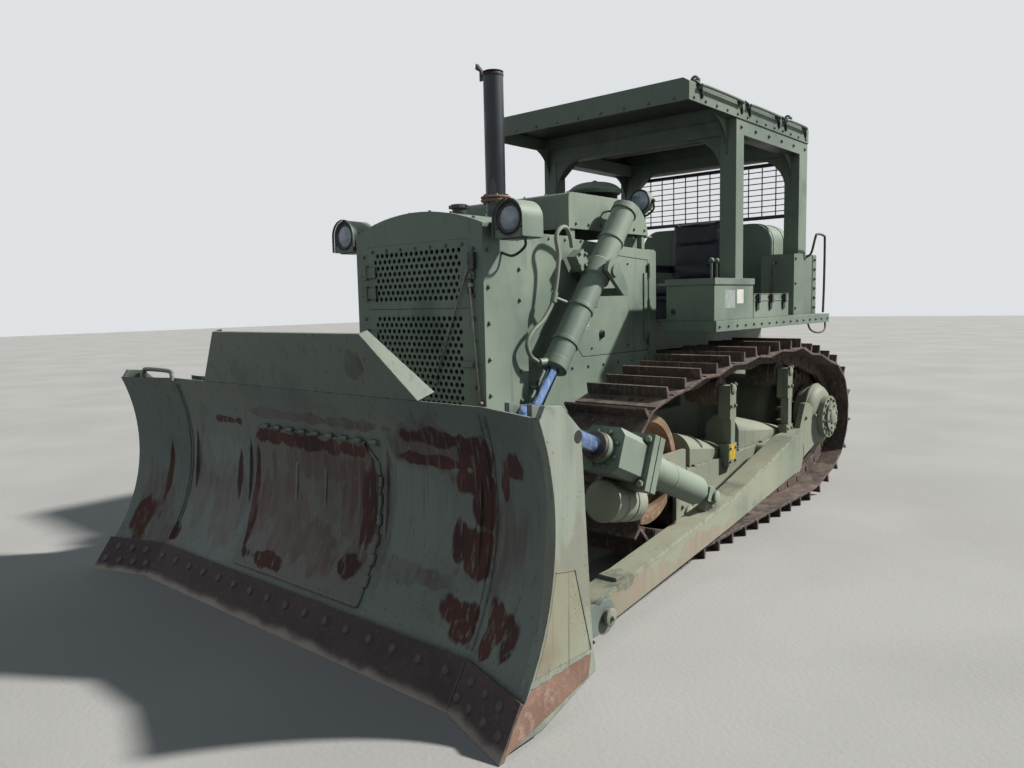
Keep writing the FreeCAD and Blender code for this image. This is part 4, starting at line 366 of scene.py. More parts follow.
BOARD_STAINS = (
    ((0.108, 0.066, 0.064), 0.75, (
        ((0.90, -4.33, 0.405), (0.24, 0.5, 0.050)), ((1.45, -4.35, 0.66), (0.16, 0.5, 0.30)),
        ((0.92, -4.33, 1.00), (0.34, 0.5, 0.11)), ((-0.82, -4.35, 0.50), (0.20, 0.5, 0.34)),
        ((-1.12, -4.35, 0.62), (0.13, 0.5, 0.36)), ((-1.50, -4.45, 0.36), (0.24, 0.5, 0.34)),
        ((0.62, -4.33, 0.60), (0.05, 0.5, 0.40)), ((0.00, -4.33, 1.06), (0.9, 0.5, 0.030)),
    )),
    ((0.285, 0.330, 0.300), 0.55, (
        ((0.80, -4.35, 0.66), (0.26, 0.5, 0.24)), ((-0.95, -4.35, 0.78), (0.30, 0.5, 0.16)),
        ((1.00, -4.40, 0.20), (0.50, 0.5, 0.05)),
    )),
)
WEAR_RUST = (
    ((0.0, -4.33, 0.925), (0.62, 0.5, 0.048)),
    ((0.50, -4.35, 0.72), (0.055, 0.5, 0.28)),
    ((0.40, -4.38, 0.36), (0.14, 0.5, 0.055)),
    ((-0.30, -4.40, 0.27), (0.24, 0.5, 0.04)),
    ((-0.51, -4.35, 0.60), (0.030, 0.5, 0.28)),
)
WEAR_STAINS = (
    ((0.110, 0.062, 0.058), 0.9, (
        ((0.05, -4.35, 0.40), (0.52, 0.5, 0.14)), ((-0.25, -4.35, 0.55), (0.24, 0.5, 0.24)),
        ((0.10, -4.35, 0.82), (0.48, 0.5, 0.10)), ((0.36, -4.35, 0.62), (0.16, 0.5, 0.22)),
    )),
)
END_PLATE_STAINS = (
    ((0.335, 0.375, 0.315), 0.85, (((1.745, -4.25, 0.75), (0.06, 0.60, 0.75)),)),
    ((0.240, 0.200, 0.140), 0.55, (((1.745, -4.33, 0.52), (0.06, 0.20, 0.30)),)),
)

looks = {
    "body": paint("sage_paint", shaded=0.35),
    # Roof and canopy are darker copies of the body paint, partly as painted shade; shaded adds painted
    # shade to their undersides.
    "roof": paint("roof_paint", shaded=0.93, rusting=0.45, base=(0.130, 0.172, 0.142),
                  faded=(0.205, 0.250, 0.205),
                  deep=(0.080, 0.112, 0.096)),
    "canopy": paint("canopy_paint", shaded=0.90, base=(0.150, 0.200, 0.165), faded=(0.225, 0.275, 0.225)),
    "blade": paint("blade_paint", rusting=0.55, dusting=0.30, patches=MOLDBOARD_RUST,
                   stains=BOARD_STAINS + END_PLATE_STAINS, scuffed=True, base=(0.166, 0.206, 0.190),
                   faded=(0.250, 0.285, 0.245), deep=(0.120, 0.142, 0.126)),
    "guard": paint("guard_paint", rusting=0.45, scuffed=True, base=(0.165, 0.205, 0.170),
                   faded=(0.230, 0.270, 0.222),
                   stains=(((0.060, 0.060, 0.062), 0.8, (((0.55, -4.44, 1.36), (0.10, 0.3, 0.07)),)),)),
    "wear": paint("wear_plate_paint", rusting=0.8, scuffed=True, base=(0.148, 0.142, 0.126),
                  patches=WEAR_RUST,
                  stains=WEAR_STAINS, faded=(0.215, 0.220, 0.190), deep=(0.088, 0.064, 0.060)),
    "arm": paint("arm_paint", rusting=0.5, dusting=0.75, base=(0.225, 0.262, 0.200),
                 faded=(0.330, 0.355, 0.275),
                 stains=(((0.330, 0.255, 0.200), 0.85, (((1.44, -3.15, 0.16), (0.10, 0.70, 0.075)),
                                                        ((1.44, -2.55, 0.24), (0.10, 0.50, 0.060)))),
                         ((0.105, 0.120, 0.092), 0.8, (((1.37, -3.50, 0.24), (0.09, 0.12, 0.05)),
                                                       ((1.37, -2.15, 0.45), (0.07, 0.16, 0.07)))))),
    "undercarriage": paint("undercarriage_paint", rusting=0.6, dusting=0.85, base=(0.215, 0.245, 0.190),
                           faded=(0.300, 0.320, 0.250), deep=(0.125, 0.130, 0.105), roughness=0.66),
    "black": paint("black_paint", rusting=0.4, dusting=0.30, base=(0.014, 0.018, 0.026),
                   faded=(0.045, 0.050, 0.056),
                   deep=(0.008, 0.009, 0.012), roughness=0.44),
    "stack": paint("stack_paint", rusting=0.35, dusting=0.2, base=(0.012, 0.017, 0.028),
                   faded=(0.032, 0.040, 0.054),
                   deep=(0.007, 0.009, 0.014), roughness=0.40,
                   patches=(((0, -2.77, 3.13), (0.09, 0.09, 0.028)),
                            ((0, -2.77, 2.07), (0.12, 0.12, 0.035))),
                   stains=(((0.150, 0.160, 0.180), 0.8, (((0.03, -2.83, 2.36), (0.035, 0.05, 0.15)),
                                                         ((-0.03, -2.83, 2.80), (0.02, 0.05, 0.10)))),)),
    "shoes": worn_steel("shoe_steel", (0.050, 0.036, 0.034), (0.110, 0.072, 0.060), (0.190, 0.150, 0.130)),
    "rollers": worn_steel("roller_steel", (0.045, 0.034, 0.028), (0.105, 0.074, 0.054),
                          (0.180, 0.150, 0.120)),
    "idler": worn_steel("idler_iron", (0.185, 0.105, 0.060), (0.290, 0.185, 0.115), (0.380, 0.320, 0.250),
                        corner_shade=0.35),
    "strip": paint("strip_paint", rusting=0.8, dusting=0.2, scuffed=True, base=(0.285, 0.270, 0.190),
                   faded=(0.330, 0.350, 0.270), deep=(0.230, 0.165, 0.115)),
    "corner": worn_steel("corner_iron", (0.200, 0.115, 0.085), (0.290, 0.175, 0.130),
                         (0.400, 0.330, 0.280), corner_shade=0.3),
    "edge": edge_iron(),
    "chrome": chrome(),
    "vinyl": vinyl(),
    "rubber": plain("black_rubber", (0.016, 0.016, 0.017), (0.045, 0.044, 0.042), roughness=0.62),
    "fitting": plain("zinc_fitting", (0.26, 0.25, 0.22), (0.16, 0.15, 0.13), roughness=0.42, metallic=0.6),
    "plastic": plain("black_plastic", (0.012, 0.012, 0.013), (0.030, 0.030, 0.030), roughness=0.45),
    "bolt": plain("dark_bolts", (0.045, 0.040, 0.036), (0.105, 0.085, 0.068), roughness=0.55, metallic=0.3),
    "edge_bolt": plain("edge_bolt_heads", (0.058, 0.046, 0.048), (0.100, 0.080, 0.076), roughness=0.6,
                       metallic=0.2),
    "latch": plain("black_latches", (0.010, 0.011, 0.012), (0.032, 0.032, 0.034), roughness=0.42),
    "blank_plate": plain("blank_plate", (0.42, 0.45, 0.43), (0.30, 0.33, 0.33), roughness=0.4,
                         metallic=0.2),
    "pipe": paint("pipe_paint", rusting=0.9, dusting=0.2, base=(0.170, 0.205, 0.165),
                  faded=(0.300, 0.310, 0.260)),
    "pale_label": plain("blank_label", (0.74, 0.74, 0.70), (0.62, 0.60, 0.52), roughness=0.5, scale=14.0),
    "yellow": plain("yellow_paint", (0.62, 0.42, 0.03), (0.38, 0.25, 0.04), roughness=0.55),
    "glass": lens_glass(),
    "gauge": plain("gauge_face", (0.50, 0.50, 0.46), (0.36, 0.36, 0.33), roughness=0.25),
    "core": plain("radiator_core", (0.012, 0.013, 0.014), (0.035, 0.032, 0.030), roughness=0.6,
                  metallic=0.4),
}

NODE_LOOKS = (
    # start of the node's name, look
    ("track_frame", "undercarriage"), ("track_", "shoes"), ("sprocket", "rollers"), ("rollers", "rollers"),
    ("idler", "idler"), ("cutting_edge", "edge"), ("end_bits", "edge"), ("blade", "blade"),
    ("spill_guard", "guard"),
    ("push_arm", "arm"), ("tilt_rod", "chrome"), ("lift_rod", "chrome"), ("exhaust_stack", "stack"),
    ("rain_cap", "stack"), ("roof", "roof"), ("canopy", "canopy"), ("radiator_core", "core"),
    ("rear_screen", "black"), ("seat_cushion", "vinyl"),
    ("seat_back", "vinyl"), ("seat_frame", "black"), ("control_console", "body"),
    ("foot_controls", "rubber"),
    ("engine_block", "undercarriage"), ("main_frame", "undercarriage"), ("", "body"),
)
for node_name, node in NODES.items():
    look = next(look for start, look in NODE_LOOKS if node_name.startswith(start))
    node.data.materials.clear()
    node.data.materials.append(looks[look])

# Mesh building


def towards(direction):
    """Turns +Z onto a direction."""
    return Vector(direction).to_track_quat("Z", "Y").to_matrix().to_4x4()


class Piece:
    """One mesh put together from small forms, then bevelled and hung on a CAD body."""

    def __init__(self):
        self.mesh = bmesh.new()

    def block(self, low, high, turn=None, centre=None):
        """A box, turned about its centre by a matrix."""
        low, high = Vector(low), Vector(high)
        middle = (low + high) / 2
        made = bmesh.ops.create_cube(self.mesh, size=1.0)["verts"]
        bmesh.ops.scale(self.mesh, verts=made, vec=high - low)
        bmesh.ops.translate(self.mesh, verts=made, vec=middle)
        if turn is not None:
            bmesh.ops.rotate(self.mesh, verts=made, cent=Vector(centre or middle), matrix=turn)

    def bar(self, start, end, radius, end_radius=None, sides=20):
        """A round or tapered bar with flat ends."""
        start, end = Vector(start), Vector(end)
        along = end - start
        bmesh.ops.create_cone(
            self.mesh, cap_ends=True, segments=sides, radius1=radius,
            radius2=radius if end_radius is None else end_radius, depth=along.length,
            matrix=Matrix.Translation((start + end) / 2) @ towards(along))

    def skin(self, rings):
        """Faces between rings of as many points, and a cap at both ends."""
        for first, second in zip(rings, rings[1:]):
            for k in range(len(first)):
                self.mesh.faces.new((first[k - 1], first[k], second[k], second[k - 1]))
        self.mesh.faces.new(reversed(rings[0]))
        self.mesh.faces.new(rings[-1])

    def turned(self, spot, direction, profile, sides=28):
        """A solid of revolution from (along, radius) points."""
        place = Matrix.Translation(Vector(spot)) @ towards(direction)
        rings = []
        for along, radius in profile:
            rings.append([
                self.mesh.verts.new(place @ Vector((radius * math.cos(a), radius * math.sin(a), along)))
                for a in (math.tau * k / sides for k in range(sides))
            ])
        self.skin(rings)

    def bolt(self, spot, normal, size):
        """Washer and chamfered hexagon head."""
        spot, normal = Vector(spot), Vector(normal).normalized()
        self.bar(spot - normal * 0.002, spot + normal * size * 0.22, size * 1.22, sides=16)
        top = spot + normal * size * 0.22
        self.bar(top, top + normal * size * 0.75, size, sides=6)
        self.bar(top + normal * size * 0.75, top + normal * size * 0.95, size * 0.94, size * 0.74, sides=6)

    def bolt_on(self, node_name, start, direction, size):
        """A bolt where a ray first meets a CAD node."""
        found = land(node_name, start, direction)
        if found:
            self.bolt(*found, size)

    def dome_bolt(self, spot, normal, size):
        """Ploughshare bolt: a flat dished head flush with the plate."""
        self.turned(Vector(spot) - Vector(normal) * 0.003, normal,
                    [(0, size * 1.12), (0.005, size * 1.12), (0.0055, size * 0.96), (0.009, size * 0.90),
                     (0.0115, size * 0.55), (0.0105, size * 0.1)], sides=20)

    def plate(self, corners, thickness):
        """A flat plate from its outline, thick towards the outline's normal."""
        bottom = [self.mesh.verts.new(Vector(c)) for c in corners]
        face = self.mesh.faces.new(bottom)
        face.normal_update()
        grown = bmesh.ops.extrude_face_region(self.mesh, geom=[face])
        moved = [item for item in grown["geom"] if isinstance(item, bmesh.types.BMVert)]
        bmesh.ops.translate(self.mesh, verts=moved, vec=face.normal * thickness)
        bmesh.ops.reverse_faces(self.mesh, faces=[face])

    def tube(self, points, radius, sides=12, wobble=0.0):
        """A round tube along points, closed at both ends; wobble makes a weld bead of it."""
        points = [Vector(p) for p in points]
        rings = []
        side = None
        for index, point in enumerate(points):
            ahead = points[min(index + 1, len(points) - 1)] - points[max(index - 1, 0)]
            ahead.normalize()
            if side is None:
                side = ahead.orthogonal().normalized()
            side = (side - ahead * side.dot(ahead)).normalized()
            other = ahead.cross(side)
            size = radius * (1 + wobble * (random.random() - 0.5))
            rings.append([
                self.mesh.verts.new(point + (side * math.cos(a) + other * math.sin(a)) * size)
                for a in (math.tau * k / sides for k in range(sides))
            ])
        self.skin(rings)

    def band(self, points, across, width, thickness):
        """A flat strap that follows points, width along across, thick to its outer side."""
        points = [Vector(p) for p in points]
        across = Vector(across).normalized()
        rings = []
        for index, point in enumerate(points):
            ahead = points[min(index + 1, len(points) - 1)] - points[max(index - 1, 0)]
            out = across.cross(ahead).normalized() * thickness
            side = across * (width / 2)
            rings.append([self.mesh.verts.new(p) for p in (point - side, point + side, point + side + out,
                                                          point - side + out)])
        self.skin(rings)

    def fillet(self, corner, first, second, radius, thickness):
        """A gusset with a hollow round edge between two beams that meet at corner."""
        corner, first, second = Vector(corner), Vector(first), Vector(second)
        centre = corner + (first + second) * radius
        arc = []
        for k in range(9):
            a = math.radians(90 * k / 8)
            arc.append(centre - first * radius * math.sin(a) - second * radius * math.cos(a))
        self.plate([corner - (first + second) * 0.004] + arc, thickness)

    def ring_of_bolts(self, centre, axis, radius, count, size):
        centre, axis = Vector(centre), Vector(axis).normalized()
        side = axis.orthogonal().normalized()
        other = axis.cross(side)
        for k in range(count):
            a = math.tau * (k + 0.5) / count
            self.bolt(centre + (side * math.cos(a) + other * math.sin(a)) * radius, axis, size)

    def done(self, name, look, body="machine", bevel=0.0):
        """Makes the object, with its look, rounded edges and the body that it rides on."""
        bmesh.ops.recalc_face_normals(self.mesh, faces=self.mesh.faces)
        data = bpy.data.meshes.new(name)
        self.mesh.to_mesh(data)
        self.mesh.free()
        for polygon in data.polygons:
            polygon.use_smooth = True
        data.set_sharp_from_angle(angle=math.radians(35))
        thing = bpy.data.objects.new(name, data)
        bpy.context.scene.collection.objects.link(thing)
        data.materials.append(looks[look])
        if bevel:
            modifier = thing.modifiers.new("rounded_edges", "BEVEL")
            modifier.width = bevel
            modifier.segments = 2
            modifier.limit_method = "ANGLE"
            modifier.angle_limit = math.radians(40)
        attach(thing, body)
        return thing


def smooth_line(points, count=12):
    """Catmull-Rom curve through a few points."""
    points = [Vector(p) for p in points]
    ends = [points[0] * 2 - points[1]] + points + [points[-1] * 2 - points[-2]]
    line = []
    for a, b, c, d in zip(ends, ends[1:], ends[2:], ends[3:]):
        for step in range(count):
            t = step / count
            line.append(0.5 * (2 * b + (c - a) * t + (2 * a - 5 * b + 4 * c - d) * t * t
                               + (3 * b - a - 3 * c + d) * t ** 3))
    return line + [points[-1]]


trees = {}
RAY_REACH = 3.0


def land(node_name, start, direction):
    """Where a ray meets a CAD node, and its outward normal there; None where it misses."""
    if node_name not in trees:
        data = NODES[node_name].data
        trees[node_name] = BVHTree.FromPolygons([v.co.copy() for v in data.vertices],
                                                [tuple(p.vertices) for p in data.polygons])
    direction = Vector(direction).normalized()
    spot, normal, _, _ = trees[node_name].ray_cast(Vector(start), direction, RAY_REACH)
    if spot is None:
        return None
    if normal.dot(direction) > 0:
        normal = -normal
    return spot, normal


def spread(first, last, count):
    """Points in a row, both ends included."""
    first, last = Vector(first), Vector(last)
    return [first.lerp(last, k / max(count - 1, 1)) for k in range(count)]


def bolt_rows(name, rows):
    """Bolts where rays from rows of points first meet a CAD node."""
    bolts = Piece()
    for node_name, first, last, count, direction, size in rows:
        for start in spread(first, last, count):
            bolts.bolt_on(node_name, start, direction, size)
    bolts.done(name, "body")


def joint(name):
    return next(entry for entry in frame["joints"] if entry["name"] == name)


SIDES = (("left", 1), ("right", -1))
UP, DOWN, AHEAD, BACK = Vector((0, 0, 1)), Vector((0, 0, -1)), Vector((0, -1, 0)), Vector((0, 1, 0))
BEFORE_BLADE, BESIDE_BLADE = -5.2, 2.2
STACK_Y = -2.770

# Camera, from the photograph

CAMERA_SPOT = (3.535, -4.7596, 1.6461)
CAMERA_TURN, CAMERA_PITCH, CAMERA_ROLL = math.radians(40.70), math.radians(5.896), math.radians(-1.222)
FOCAL_PIXELS, PHOTO_WIDTH, SENSOR_WIDTH = 788.68, 1024, 36


def build_camera():
    turn, pitch, roll = CAMERA_TURN, CAMERA_PITCH, CAMERA_ROLL
    forward = Vector((-math.sin(turn) * math.cos(pitch), math.cos(turn) * math.cos(pitch),
                      -math.sin(pitch)))
    right = Vector((math.cos(turn), math.sin(turn), 0))
    up = right.cross(forward)
    side = right * math.cos(roll) + up * math.sin(roll)
    top = up * math.cos(roll) - right * math.sin(roll)
    data = bpy.data.cameras.new("camera")
    data.sensor_width = SENSOR_WIDTH
    data.lens = FOCAL_PIXELS / PHOTO_WIDTH * SENSOR_WIDTH
    data.clip_end = 200
    camera = bpy.data.objects.new("camera", data)
    spin = Matrix((side, top, -forward)).transposed().to_4x4()
    camera.matrix_world = Matrix.Translation(CAMERA_SPOT) @ spin
    bpy.context.scene.collection.objects.link(camera)
    bpy.context.scene.camera = camera
    bpy.context.scene.view_settings.view_transform = "Standard"


def pale_rays(tree):
    """1 for the rays that see the backdrop: from the camera, off metal and through glass."""
    path = tree.nodes.new("ShaderNodeLightPath")
    result = path.outputs["Is Camera Ray"]
    for other in ("Is Glossy Ray", "Is Transmission Ray"):
        either = tree.nodes.new("ShaderNodeMath")
        either.operation = "MAXIMUM"
        tree.links.new(result, either.inputs[0])
        tree.links.new(path.outputs[other], either.inputs[1])
        result = either.outputs[0]
    return result


SUN_STRENGTH, SUN_SPREAD = 5.3, math.radians(3)
SUN_COLOUR, SUN_FROM = (1.0, 0.965, 0.90), (0.54, 0.54, 0.62)
SKY_STRENGTH, SKY_COLOUR, BACKDROP_COLOUR = 0.19, (0.76, 0.90, 1.0, 1), (0.74, 0.76, 0.78, 1)
FLOOR_REACH = 60


def build_sun():
    sun = bpy.data.lights.new("key", "SUN")
    sun.energy = SUN_STRENGTH
    sun.angle = SUN_SPREAD
    sun.color = SUN_COLOUR
    lamp = bpy.data.objects.new("key", sun)
    lamp.matrix_world = towards(SUN_FROM)
    bpy.context.scene.collection.objects.link(lamp)


def build_sky():
    """Dim light from all sides, seen as a pale backdrop."""
    world = bpy.data.worlds.new("sky")
    bpy.context.scene.world = world
    world.use_nodes = True
    tree = world.node_tree
    tree.nodes.clear()
    out = tree.nodes.new("ShaderNodeOutputWorld")
    light = tree.nodes.new("ShaderNodeBackground")
    light.inputs["Color"].default_value = SKY_COLOUR
    light.inputs["Strength"].default_value = SKY_STRENGTH
    seen = tree.nodes.new("ShaderNodeBackground")
    seen.inputs["Color"].default_value = BACKDROP_COLOUR
    mixed = tree.nodes.new("ShaderNodeMixShader")
    tree.links.new(pale_rays(tree), mixed.inputs[0])
    tree.links.new(light.outputs[0], mixed.inputs[1])
    tree.links.new(seen.outputs[0], mixed.inputs[2])
    tree.links.new(mixed.outputs[0], out.inputs[0])


def build_floor():
    """Pale where it is seen, dark where it lights the machine from below."""
    s = Shader("floor_pale")
    seen = pale_rays(s.tree)
    tone = s.mix(s.step(s.noise(0.6, 5.0), 0.3, 0.7), (0.36, 0.36, 0.355), (0.41, 0.41, 0.405))
    s.set(Base_Color=s.mix(seen, (0.13, 0.13, 0.13), tone), Roughness=0.9)
    s.set(Normal=s.bump(s.noise(40.0, 6.0), 0.2, 0.01))
    data = bpy.data.meshes.new("floor")
    corners = [(x * FLOOR_REACH, y * FLOOR_REACH, 0) for x, y in ((-1, -1), (1, -1), (1, 1), (-1, 1))]
    data.from_pydata(corners, [], [(0, 1, 2, 3)])
    floor = bpy.data.objects.new("floor", data)
    data.materials.append(s.material)
    bpy.context.scene.collection.objects.link(floor)


# Blade


def board_spot(x, z, lift=0.0):
    """A point on the moldboard's face, lifted towards the front."""
    found = land("blade", at(x, BEFORE_BLADE, z), (0, 1, 0)) or land("blade",
                                                                     at(x, BEFORE_BLADE, z + 0.003),
                                                                     (0, 1, 0))
    spot, normal = found
    return spot + normal * lift, normal


def build_blade_details():
    half, low, high = 0.56, 0.20, 0.975
    columns, rows = 14, 16
    wear = Piece()
    front, back = [], []
    for row in range(rows + 1):
        z = low + (high - low) * row / rows
        for column in range(columns + 1):
            x = -half + 2 * half * column / columns
            corner = 0.10 * (1 - min(1.0, (high - z) / 0.10)) if abs(x) > half - 0.001 else 0.0
            x -= math.copysign(corner, x)
            front.append(wear.mesh.verts.new(board_spot(x, z, 0.012)[0]))
            back.append(wear.mesh.verts.new(board_spot(x, z, -0.004)[0]))
    width = columns + 1
    for row in range(rows):
        for column in range(columns):
            a = row * width + column
            wear.mesh.faces.new((front[a], front[a + 1], front[a + 1 + width], front[a + width]))
            wear.mesh.faces.new((back[a], back[a + width], back[a + 1 + width], back[a + 1]))
    rim = [column for column in range(width)] + [row * width + columns for row in range(1, rows + 1)]
    rim += [rows * width + column for column in range(columns - 1, -1, -1)]
    rim += [row * width for row in range(rows - 1, 0, -1)]
    for a, b in zip(rim, rim[1:] + rim[:1]):
        wear.mesh.faces.new((front[b], front[a], back[a], back[b]))
    outline = [front[k].co.copy() for k in rim]
    wear.done("wear_plate", "wear", "blade_assembly")
    welds = Piece()
    bead = []
    for a, b in zip(outline, outline[1:] + outline[:1]):
        for step in range(5):
            point = a.lerp(b, step / 5)
            bead.append(board_spot(point.x, point.z, 0.004)[0])
    welds.tube(bead, 0.009, sides=6, wobble=0.5)
    dashes = [(-half + 0.14 + 0.118 * k, high + 0.008, 1, 0) for k in range(9)]
    dashes += [(half + 0.010, high - 0.16 - 0.095 * k, 0, -1) for k in range(6)]
    for x, z, run, drop in dashes:
        line = [board_spot(x + run * step * 0.0085, z + drop * step * 0.0085,
                           0.008)[0] for step in range(7)]
        welds.tube(line, 0.014, sides=8, wobble=0.35)
    wing_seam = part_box("cutting_edge")[1].x - 0.012
    for side in (-1, 1):
        seam = [board_spot(side * wing_seam, z / 100, 0.001)[0] for z in range(20, 120, 2)]
        welds.tube(seam, 0.007, sides=6, wobble=0.5)
        lower = [board_spot(side * (wing_seam - 0.03), z / 100, 0.001)[0] for z in range(20, 120, 2)]
        welds.tube(lower, 0.004, sides=6, wobble=0.4)
    welds.done("moldboard_welds", "blade", "blade_assembly")
    bolts = Piece()
    edge_low, edge_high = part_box("cutting_edge")
    count = 16
    for k in range(count):
        x = edge_low.x + (k + 0.5) * (edge_high.x - edge_low.x) / count
        found = land("cutting_edge", at(x, BEFORE_BLADE, 0.125), (0, 1, 0))
        if found:
            bolts.dome_bolt(found[0], found[1], 0.021)
    for side in (-1, 1):
        for x, z in ((1.42, 0.135), (1.53, 0.135), (1.64, 0.135), (1.37, 0.065), (1.47, 0.065),
                     (1.58, 0.065),
                     (1.69, 0.065)):
            found = land("end_bits", at(side * x, BEFORE_BLADE, z), (0, 1, 0))
            if found:
                bolts.dome_bolt(found[0], found[1], 0.021)
    bolts.done("edge_bolts", "edge_bolt", "blade_assembly")
    loops = Piece()
    for start, end in ((-1.69, -1.31),):
        top = 1.262
        y = -4.40
        points = [at(start, y, 1.20), at(start + 0.005, y, 1.245), at(start + 0.04, y, top),
                  at(end - 0.04, y, top),
                  at(end - 0.005, y, 1.245), at(end, y, 1.20)]
        loops.tube(smooth_line(points, 6), 0.014, sides=12)
    loops.done("lifting_loop", "blade", "blade_assembly")


def build_guard_details():
    """Bolted rims, grille hinges and the two stay rods in front of the grille."""
    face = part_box("radiator_guard")[0].y
    bolts = Piece()
    lugs = Piece()
    grille_low, grille_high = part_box("grille")
    for k in range(9):
        z = grille_low.z + 0.06 + k * (grille_high.z - grille_low.z - 0.12) / 8
        for side in (-1, 1):
            found = land("radiator_guard", (side * (grille_high.x + 0.035), face - 0.5, z), (0, 1, 0))
            if found:
                bolts.bolt(found[0], found[1], 0.010)
    for k in range(7):
        x = grille_low.x + 0.05 + k * (grille_high.x - grille_low.x - 0.10) / 6
        for z in (grille_low.z + 0.03, grille_high.z - 0.03):
            found = land("grille", (x, face - 0.5, z), (0, 1, 0))
            if found:
                bolts.bolt(found[0], found[1], 0.009)
    for z in (grille_low.z + 0.18, 1.45, 1.72, grille_high.z - 0.16):
        x = -grille_high.x - 0.012
        lugs.bar((x, face - 0.012, z - 0.045), (x, face - 0.012, z + 0.045), 0.012)
        lugs.block((x, face - 0.012, z - 0.035), (x + 0.09, face - 0.003, z + 0.035))
        lugs.block((x - 0.05, face - 0.010, z - 0.020), (x, face - 0.001, z + 0.020))
    for z in (1.30, 1.80):
        x = grille_high.x
        lugs.block((x - 0.06, face - 0.014, z - 0.018), (x + 0.05, face - 0.002, z + 0.018))
        lugs.bar((x + 0.03, face - 0.030, z), (x + 0.03, face, z), 0.011)
    lugs.done("grille_hinges", "guard", bevel=0.002)
    bolts.done("guard_bolts", "guard")
    stays = Piece()
    ahead = face - 0.020
    for start, end in (((0.464, 1.876), (0.155, 1.189)), ((0.464, 1.749), (0.591, 1.082))):
        top = Vector((start[0], ahead, start[1]))
        foot = Vector((min(end[0], 0.52), ahead, end[1]))
        stays.bar(top, foot, 0.0055, sides=10)
        for point in (top, foot):
            stays.turned(point + Vector((0, 0.024, 0)), (0, -1, 0),
                         [(0, 0.017), (0.022, 0.017), (0.030, 0.012)])
    stays.done("guard_stays", "fitting", bevel=0.001)


def build_hydraulics():
    """A steel line on each lift cylinder, with clamps, port, manifold and gland bolts."""
    for side, label in ((1, "left"), (-1, "right")):
        body = f"lift_barrel_{label}_body"
        trunnion = Vector(joint(f"lift_barrel_{label}_swing")["pos_m"])
        along = Vector(joint(f"lift_rod_{label}_slide")["axis"]).normalized()
        ahead = Vector((0, along.z, -along.y))
        if ahead.y > 0:
            ahead = -ahead
        inward = Vector((-side, 0, 0))
        pipe = Piece()
        route = [(0.565, -2.700, 1.985), (0.580, -2.735, 2.045), (0.600, -2.800, 2.095),
                 (0.600, -2.862, 2.088),
                 (0.600, -2.905, 2.030), (0.600, -2.885, 1.900), (0.600, -2.935, 1.675),
                 (0.600, -3.035, 1.545),
                 (0.600, -3.150, 1.470), (0.605, -3.205, 1.400), (0.610, -3.180, 1.330),
                 (0.620, -3.120, 1.290)]
        pipe.tube(smooth_line([at(side * x, y, z) for x, y, z in route], 6), 0.0135, sides=12)
        pipe.done(f"lift_line_{label}", "pipe", body)
        clamps = Piece()
        for t in (-0.26, 0.30, 0.56):
            ring = trunnion + along * t
            clamps.turned(ring - along * 0.014,
                          along, [(0, 0.084), (0.002, 0.087), (0.026, 0.087), (0.028, 0.084)],
                          sides=32)
            clamps.bolt(ring + (ahead * 0.5 + inward * 0.86) * 0.086, ahead * 0.5 + inward * 0.86, 0.009)
        port = trunnion + along * 0.69
        clamps.bar(port, at(side * 0.622, -3.118, 1.288), 0.024, sides=16)
        clamps.bar(at(side * 0.60, -2.945, 1.640), at(side * 0.60, -2.925, 1.700), 0.021, sides=12)
        clamps.bar(at(side * 0.60, -2.930, 1.670), at(side * 0.63, -2.850, 1.640), 0.012, sides=8)
        manifold = trunnion + Vector((-side * 0.055, -0.135, 0.075))
        clamps.block(manifold - Vector((0.038, 0.045, 0.060)), manifold + Vector((0.038, 0.045, 0.050)),
                     turn=Matrix.Rotation(0.6, 3, "X"), centre=manifold)
        for y, z in ((-0.030, 0.035), (0.030, 0.035), (-0.030, -0.035), (0.030, -0.035)):
            clamps.bolt(manifold + Vector((side * 0.038, y, z)), Vector((side, 0, 0)), 0.011)
        gland = trunnion + along * 0.752
        for k in range(8):
            a = math.tau * (k + 0.5) / 8
            spoke = ahead * math.cos(a) + Vector((1, 0, 0)) * math.sin(a)
            clamps.bolt(gland + spoke * 0.064, along, 0.009)
        clamps.done(f"lift_clamps_{label}", "body", body, bevel=0.001)


# Undercarriage


def shoe_plates(track):
    """Centre and outward normal of each shoe plate, from the long flats in the track's mesh."""
    data = NODES[track].data
    low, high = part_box(track)
    middle = (low + high) / 2
    found = {}
    for polygon in data.polygons:
        normal = polygon.normal.copy()
        corners = [data.vertices[k].co for k in polygon.vertices]
        legs = sorted(((a - b).length,
                       k) for k, (a, b) in enumerate(zip(corners, corners[1:] + corners[:1])))
        if abs(normal.x) > 0.05 or legs[-1][0] < 0.5 or not 0.12 < legs[0][0] < 0.16:
            continue
        k = legs[-1][1]
        centre = (corners[k] + corners[(k + 1) % len(corners)]) / 2
        if normal.dot(centre - middle) > 0:
            found[(round(centre.y, 2), round(centre.z, 2))] = (centre, normal)
    return list(found.values())


RAIL_FACE = 0.117
PLATE_RUN, PLATE_RISE = 0.1256, 0.062


